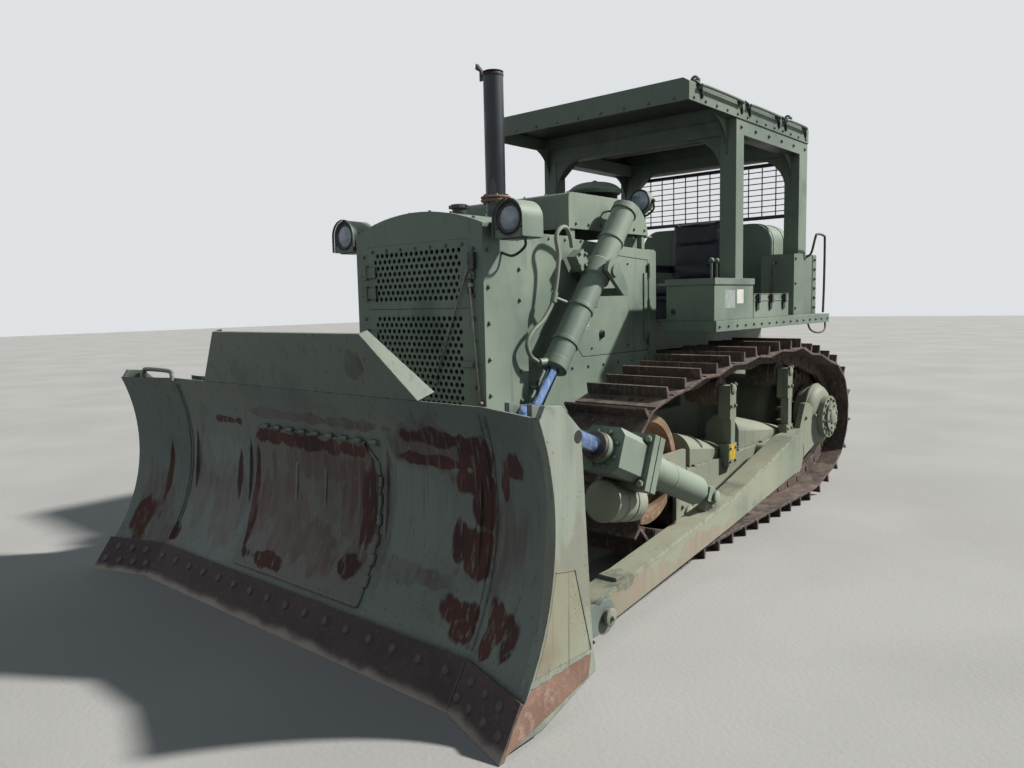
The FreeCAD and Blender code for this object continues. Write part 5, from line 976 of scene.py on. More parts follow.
def build_tracks():
    """Four bolts a shoe, and the pins' ends on both sides of the links."""
    for side, sign in SIDES:
        middle = Vector((sign * TRACK_MIDDLE, 0, 0))
        bolts = Piece()
        pins = Piece()
        for centre, normal in shoe_plates("track_" + side):
            centre = Vector((middle.x, centre.y, centre.z))
            along = Vector((0, -normal.z, normal.y))
            for x in (-0.135, -0.068, 0.068, 0.135):
                bolts.bolt(centre + Vector((x, 0, 0)) - along * 0.012, normal, 0.0125)
            pin = centre - along * PLATE_RUN - normal * PLATE_RISE
            for end in (-1, 1):
                face = pin + Vector((end * RAIL_FACE, 0, 0))
                pins.turned(face - Vector((end * 0.002, 0, 0)), (end, 0, 0),
                            [(0, 0.027), (0.006, 0.027), (0.009, 0.023), (0.008, 0.012), (0.006, 0.003)],
                            sides=14)
        bolts.done("shoe_bolts_" + side, "shoes")
        pins.done("track_pins_" + side, "shoes")


ROLLER_REACH = (2.275, 0.510)
ROLLER_AXLE = 0.2785
STANDS = (1.735, 0.725)
STAND_FACE = 1.200
HUB_FACE, HUB_CAP_FACE = 1.262, 1.285


def build_track_frames():
    """Covers, caps and bolts of the final drives, stands, bottom rollers and recoil housings."""
    for side, sign in SIDES:
        out = Vector((sign, 0, 0))
        node_name = "track_frame_" + side
        fittings = Piece()
        axle = at(0, 0, (SPROCKET_LOW.z + SPROCKET_HIGH.z) / 2)
        fittings.ring_of_bolts(axle + out * HUB_FACE, out, 0.150, 14, 0.012)
        fittings.ring_of_bolts(axle + out * HUB_CAP_FACE, out, 0.092, 6, 0.010)
        fittings.turned(axle + out * (HUB_CAP_FACE - 0.001), out,
                        [(0, 0.060), (0.008, 0.058), (0.014, 0.045), (0.015, 0.002)])
        fittings.turned(axle + out * 1.127,
                        out, [(0, 0.272), (0.003, 0.277), (0.020, 0.277), (0.023, 0.271)], sides=48)
        for reach in STANDS:
            found = land("rollers_" + side, at(sign * 1.0, -reach, 2.0), DOWN)
            top = found[0].z
            head = at(sign * STAND_FACE, -reach, top - 0.090)
            fittings.turned(head - out * 0.002,
                            out, [(0, 0.034), (0.010, 0.034), (0.014, 0.028), (0.015, 0.003)])
            for y, z in ((-0.030, 0.020), (0.030, 0.020), (-0.030, -0.125), (0.030, -0.125)):
                fittings.bolt(head + Vector((0, y, z + 0.01)), out, 0.012)
            for y, z in ((-0.038, 0.535), (0.038, 0.535), (-0.038, 0.625), (0.038, 0.625)):
                fittings.bolt(at(sign * STAND_FACE, -reach + y, z), out, 0.010)
        for spot in spread(at(sign * 1.15, -ROLLER_REACH[0], ROLLER_AXLE),
                           at(sign * 1.15, -ROLLER_REACH[1], ROLLER_AXLE),
                           6):
            fittings.turned(spot - out * 0.002,
                            out, [(0, 0.048), (0.014, 0.048), (0.018, 0.042), (0.019, 0.003)])
            for y in (-0.075, 0.075):
                fittings.bolt(spot + Vector((0, y, 0.055)), out, 0.012)
        for y in (-2.27, -2.16, -1.68, -1.56, -1.50, -1.10, -0.60):
            for x in (0.142, -0.142):
                found = land(node_name, at(sign * (TRACK_MIDDLE + x), y, 0.75), DOWN)
                if found:
                    fittings.bolt(*found, 0.012)
        for y in (-0.47, -0.37, -0.20):
            found = land(node_name, at(sign * 1.5, y, 0.66), -out)
            if found:
                fittings.bolt(*found, 0.014)
        fittings.done("frame_fittings_" + side, "undercarriage", bevel=0.0012)
        straps = Piece()
        for y in (-2.02, -0.97):
            line = []
            for x in (-0.131, -0.120, -0.09, -0.05, 0.0, 0.05, 0.09, 0.120, 0.131):
                found = land(node_name, at(sign * TRACK_MIDDLE + x, y, 1.2), DOWN)
                if found and found[0].z > 0.57:
                    line.append(found[0] + UP * 0.002)
            if y < -1.5:
                straps.band(line, (0, -1, 0), 0.022, 0.006)
                straps.bar(line[-1], line[-1] + DOWN * 0.06, 0.008)
        straps.done("cover_strap_" + side, "plastic", bevel=0.0008)
    patch = Piece()
    face = STAND_FACE + 0.0015
    corners = [(-0.045, 0.548), (0.036, 0.540), (0.041, 0.650), (0.018, 0.640), (0.004, 0.662),
               (-0.020, 0.645),
               (-0.044, 0.655)]
    patch.plate([at(face, -STANDS[0] + y, z) for y, z in corners], 0.003)
    patch.done("stand_paint_mark", "yellow", bevel=0.001)


def build_wheels():
    """Bolted sprocket rims, and the idlers' hubs and yoke bolts."""
    for side, sign in SIDES:
        out = Vector((sign, 0, 0))
        wheels = Piece()
        axle = at(sign * TRACK_MIDDLE, 0, (SPROCKET_LOW.z + SPROCKET_HIGH.z) / 2)
        for face in (-1, 1):
            wheels.ring_of_bolts(axle + out * face * 0.031, out * face, 0.325, 20, 0.014)
            wheels.ring_of_bolts(axle + out * face * 0.031, out * face, 0.262, 12, 0.013)
        wheels.done("sprocket_bolts_" + side, "rollers")
        low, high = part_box("idler_" + side)
        centre = (low + high) / 2
        hubs = Piece()
        for face in (-1, 1):
            spot = centre + out * face * ((high.x - low.x) / 2 - 0.001)
            hubs.turned(spot, out * face, [(0, 0.085), (0.003, 0.085), (0.004, 0.050), (0.0035, 0.003)])
        for reach, z in ((-0.30, 0.66), (-0.22, 0.66), (-0.30, 0.54), (-0.22, 0.54)):
            found = land("track_frame_" + side, at(sign * 1.4, centre.y - AXLE_Y - reach - 0.16, z), -out)
            if found:
                hubs.bolt(*found, 0.013)
        hubs.done("idler_hub_" + side, "undercarriage")


# Push arms and braces


TILT_FOOT, TILT_HEAD = (-2.450, 0.460), (-4.100, 1.140)
BRACE_X = 1.370


class Along:
    """Points beside a cylinder's axis, by share of its length from its foot."""

    def __init__(self, x, foot, head):
        self.foot = at(x, *foot)
        self.along = (at(x, *head) - self.foot).normalized()
        self.span = (at(x, *head) - self.foot).length
        self.side = Vector((1, 0, 0))
        self.over = self.side.cross(self.along)
        if self.over.z < 0:
            self.over = -self.over

    def spot(self, share, side=0.0, over=0.0):
        return self.foot + self.along * share * self.span + self.side * side + self.over * over


def build_braces():
    tilt = Along(BRACE_X, TILT_FOOT, TILT_HEAD)
    fittings = Piece()
    for x in (-0.115, 0.115):
        for over in (-0.115, 0.115):
            fittings.bolt(tilt.spot(0.549, x, over), tilt.along, 0.020)
            fittings.bolt(tilt.spot(0.4905, x, over), -tilt.along, 0.020)
    for k in range(8):
        a = math.tau * (k + 0.5) / 8
        fittings.bolt(tilt.spot(0.6795, 0.092 * math.cos(a), 0.092 * math.sin(a)), tilt.along, 0.011)
    fittings.turned(tilt.spot(0.612, 0, 0.1145), tilt.over, [(0, 0.034), (0.006, 0.034), (0.010, 0.024),
                                                             (0.011, 0.003)])
    fittings.turned(tilt.spot(0.30, 0, 0), tilt.along, [(0, 0.0875), (0.002, 0.0895), (0.014, 0.0895),
                                                        (0.016, 0.0875)],
                    sides=36)
    fittings.done("tilt_fittings", "arm", "blade_assembly", bevel=0.001)
    gland = Piece()
    gland.turned(tilt.spot(0.7095),
                 tilt.along, [(0, 0.073), (0.006, 0.075), (0.022, 0.070), (0.024, 0.048)], sides=32)
    gland.turned(tilt.spot(0.068), tilt.along,
                 [(0.012 * k, 0.0435 if k % 2 else 0.0460) for k in range(8)], sides=24)
    gland.done("tilt_gland_ring", "bolt", "blade_assembly")
    drum = Piece()
    drum.turned(at(BRACE_X - 0.05, -3.52, 0.640), (0, 0.93, -0.20),
                [(0, 0.003), (0.004, 0.075), (0.02, 0.105), (0.30, 0.105), (0.325, 0.080), (0.33, 0.003)],
                sides=32)
    for k in range(3):
        drum.turned(at(BRACE_X - 0.05, -3.52 + 0.093 * k, 0.640 - 0.020 * k), (0, 0.93, -0.20),
                    [(0.02, 0.105), (0.022, 0.109), (0.034, 0.109), (0.036, 0.105)], sides=32)
    drum.done("tilt_valve_drum", "arm", "blade_assembly", bevel=0.001)
    lines = Piece()
    for over, share in ((0.045, 0.575), (-0.045, 0.650)):
        lines.bar(tilt.spot(share, -0.112, over), tilt.spot(share, -0.150, over), 0.024, sides=12)
        path = [tilt.spot(share, -0.145, over), tilt.spot(share + 0.01, -0.185, over),
                tilt.spot(share + 0.06, -0.205, over),
                tilt.spot(0.82, -0.190, over * 0.8), tilt.spot(0.92, -0.120, over * 0.8),
                tilt.spot(0.985, -0.100, over)]
        lines.tube(smooth_line(path, 8), 0.013, sides=12)
    lines.done("tilt_hoses", "rubber", "blade_assembly")
    screw = Along(-BRACE_X, TILT_FOOT, TILT_HEAD)
    thread = Piece()
    for k in range(46):
        thread.turned(screw.spot(0.615 + 0.0072 * k), screw.along,
                      [(0, 0.0405), (0.005, 0.044), (0.010, 0.0405)], sides=20)
    thread.turned(screw.spot(0.600), screw.along, [(0, 0.072), (0.03, 0.078), (0.034, 0.060)], sides=24)
    thread.done("brace_thread", "rollers", "blade_assembly")
    arms = Piece()
    for sign in (1, -1):
        out = Vector((sign, 0, 0))
        seam = [(1.441, -3.66, 0.205), (1.441, -2.95, 0.303), (1.441, -2.25, 0.400), (1.441, -1.80, 0.503),
                (1.441, -1.28, 0.640)]
        arms.tube([at(sign * x, y, z) for x, y, z in seam], 0.005, sides=6, wobble=0.3)
        pin = at(sign * 1.489, -3.700, 0.136)
        arms.turned(pin, out, [(0, 0.039), (0.004, 0.044), (0.016, 0.044), (0.020, 0.036), (0.021, 0.003)])
        arms.bolt(pin + out * 0.020, out, 0.013)
        arms.block(at(sign * 1.36 - 0.055, -3.52, 0.238), at(sign * 1.36 + 0.055, -3.36, 0.258))
        foot = at(sign * (BRACE_X + 0.058), *TILT_FOOT)
        arms.turned(foot, out, [(0, 0.034), (0.010, 0.034), (0.013, 0.028), (0.014, 0.003)])
    arms.done("arm_fittings", "arm", "blade_assembly", bevel=0.0012)
    for side, sign in SIDES:
        loop = Piece()
        path = [(1.33, -1.03, 0.40), (1.33, -0.93, 0.38), (1.33, -0.84, 0.42), (1.33, -0.82, 0.50),
                (1.33, -0.88, 0.565),
                (1.33, -0.97, 0.58), (1.33, -1.04, 0.585)]
        loop.tube(smooth_line([at(sign * x, y, z) for x, y, z in path], 6), 0.020, sides=14)
        loop.done("arm_tow_loop_" + side, "bolt", "blade_assembly")


# Hood, lamps and stack


def build_lamps():
    for side, sign in SIDES:
        centre = at(sign * 0.714, -3.464, 2.100)
        lens = Piece()
        lens.turned(centre + AHEAD * 0.002, AHEAD,
                    [(0, 0.071), (0.004, 0.070), (0.012, 0.058), (0.017, 0.038), (0.019, 0.016),
                     (0.0195, 0.002)], sides=40)
        lens.done("headlamp_glass_" + side, "glass")
        rim = Piece()
        rim.turned(centre + BACK * 0.001, AHEAD, [(0, 0.0885), (0.003, 0.0885), (0.0035, 0.068)], sides=40)
        for reach, thick in ((0.0760, 0.0075), (0.0930, 0.0070)):
            circle = [centre + Vector((reach * math.cos(a), -0.006, reach * math.sin(a)))
                      for a in (math.tau * k / 40 for k in range(41))]
            rim.tube(circle, thick, sides=8)
        for a in (90, 210, 330):
            spot = centre + Vector((0.098 * math.cos(math.radians(a)), -0.012,
                                    0.098 * math.sin(math.radians(a))))
            rim.bolt(spot, AHEAD, 0.006)
        rim.block(centre + Vector((-0.100, 0.030, -0.108)), centre + Vector((0.100, 0.140, -0.101)))
        rim.done("headlamp_rim_" + side, "latch")
        visor = Piece()
        arc = [centre + Vector((0.1055 * math.cos(math.radians(a)), 0, 0.1055 * math.sin(math.radians(a))))
               for a in range(0, 181, 12)]
        arc = [centre + Vector((0.1055, 0, -0.100))] + arc + [centre + Vector((-0.1055, 0, -0.100))]
        visor.band([p + AHEAD * 0.020 for p in arc], BACK, 0.016, 0.004)
        visor.done("headlamp_visor_" + side, "body", bevel=0.0012)
        wire = Piece()
        path = [centre + Vector((0, 0.115, -0.08)), centre + Vector((-sign * 0.02, 0.150, -0.14)),
                centre + Vector((-sign * 0.10, 0.140, -0.19)),
                centre + Vector((-sign * 0.165, 0.11, -0.17))]
        wire.tube(smooth_line(path, 8), 0.008, sides=10)
        wire.done("headlamp_wire_" + side, "rubber")
    centre = at(0.450, -1.700, 2.360)
    lens = Piece()
    lens.turned(centre + BACK * 0.002,
                AHEAD, [(0, 0.074), (0.006, 0.074), (0.016, 0.058), (0.022, 0.030), (0.023, 0.002)],
                sides=36)
    lens.done("work_lamp_glass", "glass")
    rim = Piece()
    rim.tube([centre + Vector((0.078 * math.cos(a), -0.003, 0.078 * math.sin(a)))
              for a in (math.tau * k / 36 for k in range(37))], 0.007, sides=8)
    for x in (-0.088, 0.088):
        rim.bolt(centre + Vector((x, 0.040, 0)), (x, 0, 0), 0.012)
    rim.tube(smooth_line([centre + Vector((-0.088, 0.04, 0)), centre + Vector((-0.088, 0.045, -0.06)),
                          centre + Vector((-0.03, 0.05, -0.10)), centre + Vector((0.03, 0.05, -0.10)),
                          centre + Vector((0.088, 0.045, -0.06)), centre + Vector((0.088, 0.04, 0))], 6),
                          0.008, sides=8)
    rim.done("work_lamp_rim", "latch")


def build_stack_details():
    flange = Piece()
    for z in (2.310, 2.330):
        flange.turned(at(0, STACK_Y, z), UP, [(0, 0.064), (0.001, 0.096), (0.005, 0.100), (0.013, 0.100),
                                              (0.016, 0.096),
                                             (0.017, 0.064)], sides=32)
    flange.ring_of_bolts(at(0, STACK_Y, 2.346), UP, 0.083, 6, 0.010)
    flange.ring_of_bolts(at(0, STACK_Y, 2.311), DOWN, 0.083, 6, 0.010)
    found = land("hood", at(0, -2.66, 3.0), DOWN)
    if found:
        flange.turned(at(0, STACK_Y, found[0].z - 0.002), UP,
                      [(0, 0.112), (0.006, 0.112), (0.010, 0.100), (0.011, 0.066)],
                      sides=32)
        flange.ring_of_bolts(at(0, STACK_Y, found[0].z + 0.005), UP, 0.100, 6, 0.009)
    flange.done("stack_flange", "corner")
    seams = Piece()
    seams.turned(at(0, STACK_Y, 3.115), UP, [(0, 0.0655), (0.002, 0.0695), (0.014, 0.0695),
                                             (0.016, 0.0655)], sides=32)
    seams.done("stack_bands", "stack")
    cap = Piece()
    spot = land("radiator_guard", at(0.175, -3.30, 3.0), DOWN) or land("hood", at(0.175, -3.30, 3.0), DOWN)
    foot = spot[0] - UP * 0.006
    cap.turned(foot,
               UP,
               [(0, 0.052), (0.022, 0.052), (0.024, 0.042), (0.036, 0.042), (0.038, 0.058), (0.056, 0.056),
                          (0.062, 0.046), (0.064, 0.003)])
    for k in range(8):
        a = math.tau * k / 8
        ear = foot + Vector((0.054 * math.cos(a), 0.054 * math.sin(a), 0.036))
        cap.bar(ear, ear + UP * 0.020, 0.009, sides=8)
    cap.done("radiator_cap", "plastic", bevel=0.001)
    low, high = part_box("precleaner")
    middle = Vector(((low.x + high.x) / 2, (low.y + high.y) / 2, low.z))
    vanes = Piece()
    for k in range(36):
        a = math.tau * k / 36
        ray = Vector((math.cos(a), math.sin(a), 0))
        swept = Vector((math.cos(a + 0.16), math.sin(a + 0.16), 0))
        vanes.plate([middle + ray * 0.098 + UP * 0.010, middle + swept * 0.165 + UP * 0.022,
                     middle + swept * 0.165 + UP * 0.066, middle + ray * 0.098 + UP * 0.066], 0.002)
    vanes.turned(middle + UP * 0.004, UP, [(0, 0.100), (0.006, 0.168), (0.010, 0.170), (0.012, 0.100)],
                 sides=36)
    vanes.done("precleaner_vanes", "plastic")
    clamp = Piece()
    clamp.turned(middle + UP * 0.090, UP, [(0, 0.1945), (0.001, 0.1975), (0.013, 0.1975), (0.014, 0.1935)],
                 sides=48)
    clamp.turned(middle + UP * 0.1535, UP, [(0, 0.020), (0.012, 0.020), (0.020, 0.012), (0.021, 0.002)])
    clamp.done("precleaner_clamp", "body")


DOOR_PLATE = ((-2.629, 1.460), (-2.427, 1.584))


def build_hood_details():
    rows = []
    for sign in (1, -1):
        inward = (-sign, 0, 0)
        x = sign * 0.9
        rows += [
            ("hood", at(x, -3.09, 0.86), at(x, -3.09, 1.98), 9, inward, 0.009),
            ("hood", at(x, -3.02, 0.815), at(x, -1.62, 0.815), 12, inward, 0.010),
            ("hood", at(x, -2.62, 1.215), at(x, -1.72, 1.215), 6, inward, 0.009),
            ("hood", at(x, -3.02, 2.035), at(x, -1.66, 2.035), 9, inward, 0.008),
            ("radiator_guard", at(x, -3.47, 0.72), at(x, -3.47, 1.94), 7, inward, 0.011),
            ("radiator_guard", at(x, -3.20, 0.72), at(x, -3.20, 1.24), 4, inward, 0.011),
            ("radiator_guard", at(x, -3.20, 1.66), at(x, -3.20, 2.02), 3, inward, 0.011),
            ("cowl", at(x, -2.56, 2.145), at(x, -1.72, 2.145), 7, inward, 0.009),
        ]
    rows += [
        ("radiator_guard", at(-0.44, -3.46, 2.6), at(0.44, -3.46, 2.6), 6, DOWN, 0.010),
        ("radiator_guard", at(-0.44, -3.17, 2.6), at(0.44, -3.17, 2.6), 6, DOWN, 0.010),
        ("cowl", at(-0.45, -2.58, 2.8), at(0.45, -2.58, 2.8), 6, DOWN, 0.009),
        ("cowl", at(-0.45, -1.98, 2.8), at(0.45, -1.98, 2.8), 6, DOWN, 0.009),
    ]
    bolt_rows("hood_bolts", rows)
    for side, sign in SIDES:
        door = f"side_door_{side}"
        body = door + "_body"
        out = Vector((sign, 0, 0))
        face = land(door, at(sign * 0.9, -2.2, 1.5), -out)[0].x
        plate = Piece()
        latch = Piece()
        for z in (1.42, 1.80):
            spot = Vector((face, at(0, -2.28, 0).y, z))
            latch.turned(spot,
                         out, [(0, 0.030), (0.004, 0.030), (0.006, 0.022), (0.014, 0.020), (0.016, 0.003)])
            latch.block(spot + Vector((sign * 0.012, -0.006, -0.020)),
                        spot + Vector((sign * 0.024, 0.006, 0.020)))
        for y in (-2.40, -1.95):
            for z in (1.33, 1.90):
                latch.bolt_on(door, at(sign * 0.9, y, z), -out, 0.007)
        latch.done("door_latches_" + side, "latch", body, bevel=0.001)
        hinge = Piece()
        for z in (1.36, 1.60, 1.86):
            hinge.bar(at(sign * 0.516, -1.680, z - 0.05), at(sign * 0.516, -1.680, z + 0.05), 0.009,
                      sides=14)
            hinge.block(at(sign * 0.510 - 0.003, -1.680, z - 0.045),
                        at(sign * 0.510 + 0.003, -1.640, z + 0.045))
        hinge.done("door_hinges_" + side, "body", bevel=0.001)
        if sign > 0:
            (y0, z0), (y1, z1) = DOOR_PLATE
            plate.plate([Vector((face + 0.0005, at(0, y, 0).y, z))
                         for y, z in ((y0, z0), (y1, z0), (y1, z1), (y0, z1))], 0.002)
            for y in (y0 + 0.012, y1 - 0.012):
                for z in (z0 + 0.012, z1 - 0.012):
                    plate.bolt(Vector((face + 0.002, at(0, y, 0).y, z)), out, 0.004)
            plate.done("blank_door_plate", "blank_plate", body, bevel=0.0005)
    bracket = Piece()
    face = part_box("radiator_guard")[0].y
    bracket.block((0.452, face - 0.026, 1.835), (0.498, face - 0.001, 1.930))
    bracket.block((0.440, face - 0.020, 1.700), (0.470, face - 0.001, 1.780))
    bracket.done("stay_bracket", "latch", bevel=0.002)
    for sign in (1, -1):
        handle = Piece()
        handle.tube(smooth_line([at(sign * 0.500, -2.25, 2.235), at(sign * 0.545, -2.25, 2.24),
                                 at(sign * 0.550, -2.20, 2.24),
                                 at(sign * 0.550, -2.10, 2.24), at(sign * 0.545, -2.05, 2.24),
                                 at(sign * 0.500, -2.05, 2.235)], 5), 0.007, sides=10)
        handle.done("cowl_handle_" + ("left" if sign > 0 else "right"), "body")


# Operator's station


def build_station():
    rows = []
    for sign in (1, -1):
        x = sign * 1.4
        inward = (-sign, 0, 0)
        rows += [
            ("platform", at(x, -1.70, 1.450), at(x, 0.42, 1.450), 16, inward, 0.009),
            ("canopy_frame", at(x, 0.425, 1.55), at(x, 0.425, 1.97), 6, inward, 0.013),
            ("canopy_frame", at(x, -0.015, 1.55), at(x, -0.015, 1.97), 3, inward, 0.011),
            ("canopy_frame", at(x, -1.00, 2.92), at(x, 0.28, 2.92), 6, inward, 0.012),
            ("roof", at(x, -1.76, 3.00), at(x, 0.28, 3.00), 13, inward, 0.009),
            ("canopy_frame", at(sign * 0.780, -0.93, 2.0), at(sign * 0.905, -0.93, 2.0), 2, DOWN, 0.012),
        ]
    rows += [
        ("roof", at(-0.80, -2.2, 3.00), at(0.80, -2.2, 3.00), 9, BACK, 0.009),
        ("roof", at(-0.80, 0.8, 3.00), at(0.80, 0.8, 3.00), 9, AHEAD, 0.009),
        ("fuel_tank", at(-0.60, 1.0, 1.56), at(0.60, 1.0, 1.56), 8, AHEAD, 0.012),
        ("main_frame", at(-0.34, 1.2, 0.52), at(-0.34, 1.2, 1.06), 6, AHEAD, 0.013),
        ("main_frame", at(0.34, 1.2, 0.52), at(0.34, 1.2, 1.06), 6, AHEAD, 0.013),
        ("main_frame", at(-0.24, 1.2, 1.06), at(0.24, 1.2, 1.06), 4, AHEAD, 0.013),
    ]
    bolt_rows("station_bolts", rows)
    gussets = Piece()
    for sign in (1, -1):
        x = sign * 0.842 - 0.006
        for corner, first, second, radius in (
            ((x, -0.954, 2.865), (0, 1, 0), (0, 0, -1), 0.24),
            ((x, -1.084, 2.975), (0, -1, 0), (0, 0, -1), 0.26),
            ((x, 0.165, 2.865), (0, -1, 0), (0, 0, -1), 0.24),
        ):
            gussets.fillet(at(*corner), first, second, radius, 0.012)
        for y in (-1.068, 0.181):
            gussets.fillet(at(sign * 0.777, y, 2.865), (-sign, 0, 0), (0, 0, -1), 0.29, 0.012)
    gussets.done("canopy_gussets", "roof", bevel=0.0015)
    rails = Piece()
    marks = Piece()
    for sign in (1, -1):
        for start, end in ((-1.70, -1.06), (-0.92, -0.36), (-0.22, 0.22)):
            x, z = sign * 0.912, 3.070
            path = [(x, start, z), (x + sign * 0.030, start, z + 0.006),
                    (x + sign * 0.036, start + 0.05, z + 0.018),
                    (x + sign * 0.036, end - 0.05, z + 0.018), (x + sign * 0.030, end, z + 0.006),
                    (x, end, z)]
            rails.tube(smooth_line([at(*p) for p in path], 5), 0.011, sides=12)
            for y in (start, end):
                marks.tube(smooth_line([at(x, y - 0.035, 3.112), at(x + sign * 0.014, y - 0.005, 3.092),
                                        at(x + sign * 0.012, y + 0.035, 3.050),
                                        at(x + sign * 0.006, y + 0.05, 3.010)],
                                       4), 0.009, sides=8, wobble=0.6)
    for x, y in ((-0.78, -1.493), (0.78, -1.493), (-0.78, 0.207), (0.78, 0.207)):
        rails.tube([at(x + 0.030 * math.cos(a), y, 3.172 + 0.040 * math.sin(a))
                    for a in (math.tau * k / 20 for k in range(21))], 0.010, sides=10)
    rails.done("roof_rails", "body")
    marks.done("roof_weld_marks", "black")
    grab = Piece()
    for sign in (1, -1):
        path = [(1.030, 0.455, 1.50), (1.035, 0.455, 1.75), (1.035, 0.455, 2.12), (1.035, 0.43, 2.175),
                (1.035, 0.27, 2.182),
                (1.030, 0.235, 2.15), (1.0, 0.225, 2.02), (0.955, 0.225, 1.985)]
        grab.tube(smooth_line([at(sign * x, y, z) for x, y, z in path], 6), 0.010, sides=12)
        low_path = [(1.068, 0.40, 1.43), (1.085, 0.36, 1.35), (1.080, 0.20, 1.33), (1.070, 0.05, 1.36),
                    (1.066, -0.02, 1.43)]
        grab.tube(smooth_line([at(sign * min(x, 1.08), y, z) for x, y, z in low_path], 6), 0.008, sides=10)
        grab.tube(smooth_line([at(sign * 0.80, -0.062, 1.62), at(sign * 0.80, -0.12, 1.64),
                               at(sign * 0.80, -0.125, 1.80),
                               at(sign * 0.80, -0.12, 1.92), at(sign * 0.80, -0.06, 1.94)], 6), 0.010,
                               sides=10)
    grab.done("grab_rails", "bolt")
    boxes = Piece()
    for y in (-1.039, -0.797, -0.540):
        spot = at(1.060, y, 1.623)
        boxes.block(spot + Vector((-0.001, -0.020, -0.070)), spot + Vector((0.012, 0.020, 0.040)))
        boxes.block(spot + Vector((0.008, -0.012, -0.020)), spot + Vector((0.026, 0.012, 0.052)))
        boxes.bar(spot + Vector((0.018, -0.022, 0.046)), spot + Vector((0.018, 0.022, 0.046)), 0.007)
    boxes.turned(at(0.745, -1.739, 1.555), AHEAD, [(0, 0.020), (0.004, 0.020), (0.005, 0.014),
                                                   (0.002, 0.003)])
    boxes.done("box_latches", "latch", bevel=0.0012)
    seam = Piece()
    low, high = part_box("battery_box")
    seam.block((low.x - 0.004, low.y - 0.003, high.z - 0.052),
               (high.x + 0.004, high.y + 0.003, high.z - 0.044))
    seam.block((low.x - 0.003, low.y - 0.002, high.z - 0.001),
               (high.x + 0.003, high.y + 0.002, high.z + 0.004))
    seam.done("battery_lid_edge", "body", bevel=0.0015)
    for name, look, y0, y1, z0, z1 in (("blank_label_front", "blank_plate", -1.575, -1.415, 1.575, 1.700),
                                       ("blank_label_rear", "pale_label", -1.385, -1.275, 1.605, 1.705)):
        label = Piece()
        label.plate([at(1.0605, y, z) for y, z in ((y0, z0), (y1, z0), (y1, z1), (y0, z1))], 0.0015)
        label.done(name, look, bevel=0.0006)
    tank = Piece()
    half, top, bend, base = 0.650, 2.310, 0.170, 1.500
    for y in (0.27, 0.50):
        line = [at(half, y, base)]
        for k in range(9):
            a = math.radians(90 * k / 8)
            line.append(at(half - bend + bend * math.cos(a), y, top - bend + bend * math.sin(a)))
        line += [at(-p.x, y, p.z) for p in reversed(line)]
        tank.band(line, (0, 1, 0), 0.045, 0.005)
    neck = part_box("fuel_tank")[1].z
    tank.turned(at(-0.325, 0.385, neck - 0.004), UP, [(0, 0.066), (0.022, 0.066), (0.028, 0.058),
                                                      (0.029, 0.003)])
    tank.block(at(-0.375, 0.378, neck + 0.020), at(-0.275, 0.392, neck + 0.040))
    tank.done("fuel_tank_straps", "body", bevel=0.001)
    cover = Piece()
    cover.turned(at(0, 0.469, 0.800), BACK, [(0, 0.155), (0.014, 0.155), (0.018, 0.148), (0.019, 0.070),
                                             (0.034, 0.066),
                                            (0.036, 0.003)], sides=36)
    cover.ring_of_bolts(at(0, 0.487, 0.800), BACK, 0.126, 10, 0.012)
    cover.done("rear_drive_cover", "undercarriage", bevel=0.001)
    pads = Piece()
    for sign in (1, -1):
        for k in range(9):
            y = -0.33 + 0.032 * k
            pads.block(at(sign * 0.80 - 0.09, y, 1.489), at(sign * 0.80 + 0.09, y + 0.018, 1.494))
    for k in range(22):
        y = -1.50 + 0.045 * k
        pads.block(at(-0.42, y, 1.2695), at(0.42, y + 0.022, 1.2745))
    pads.done("grip_strips", "rubber", bevel=0.001)


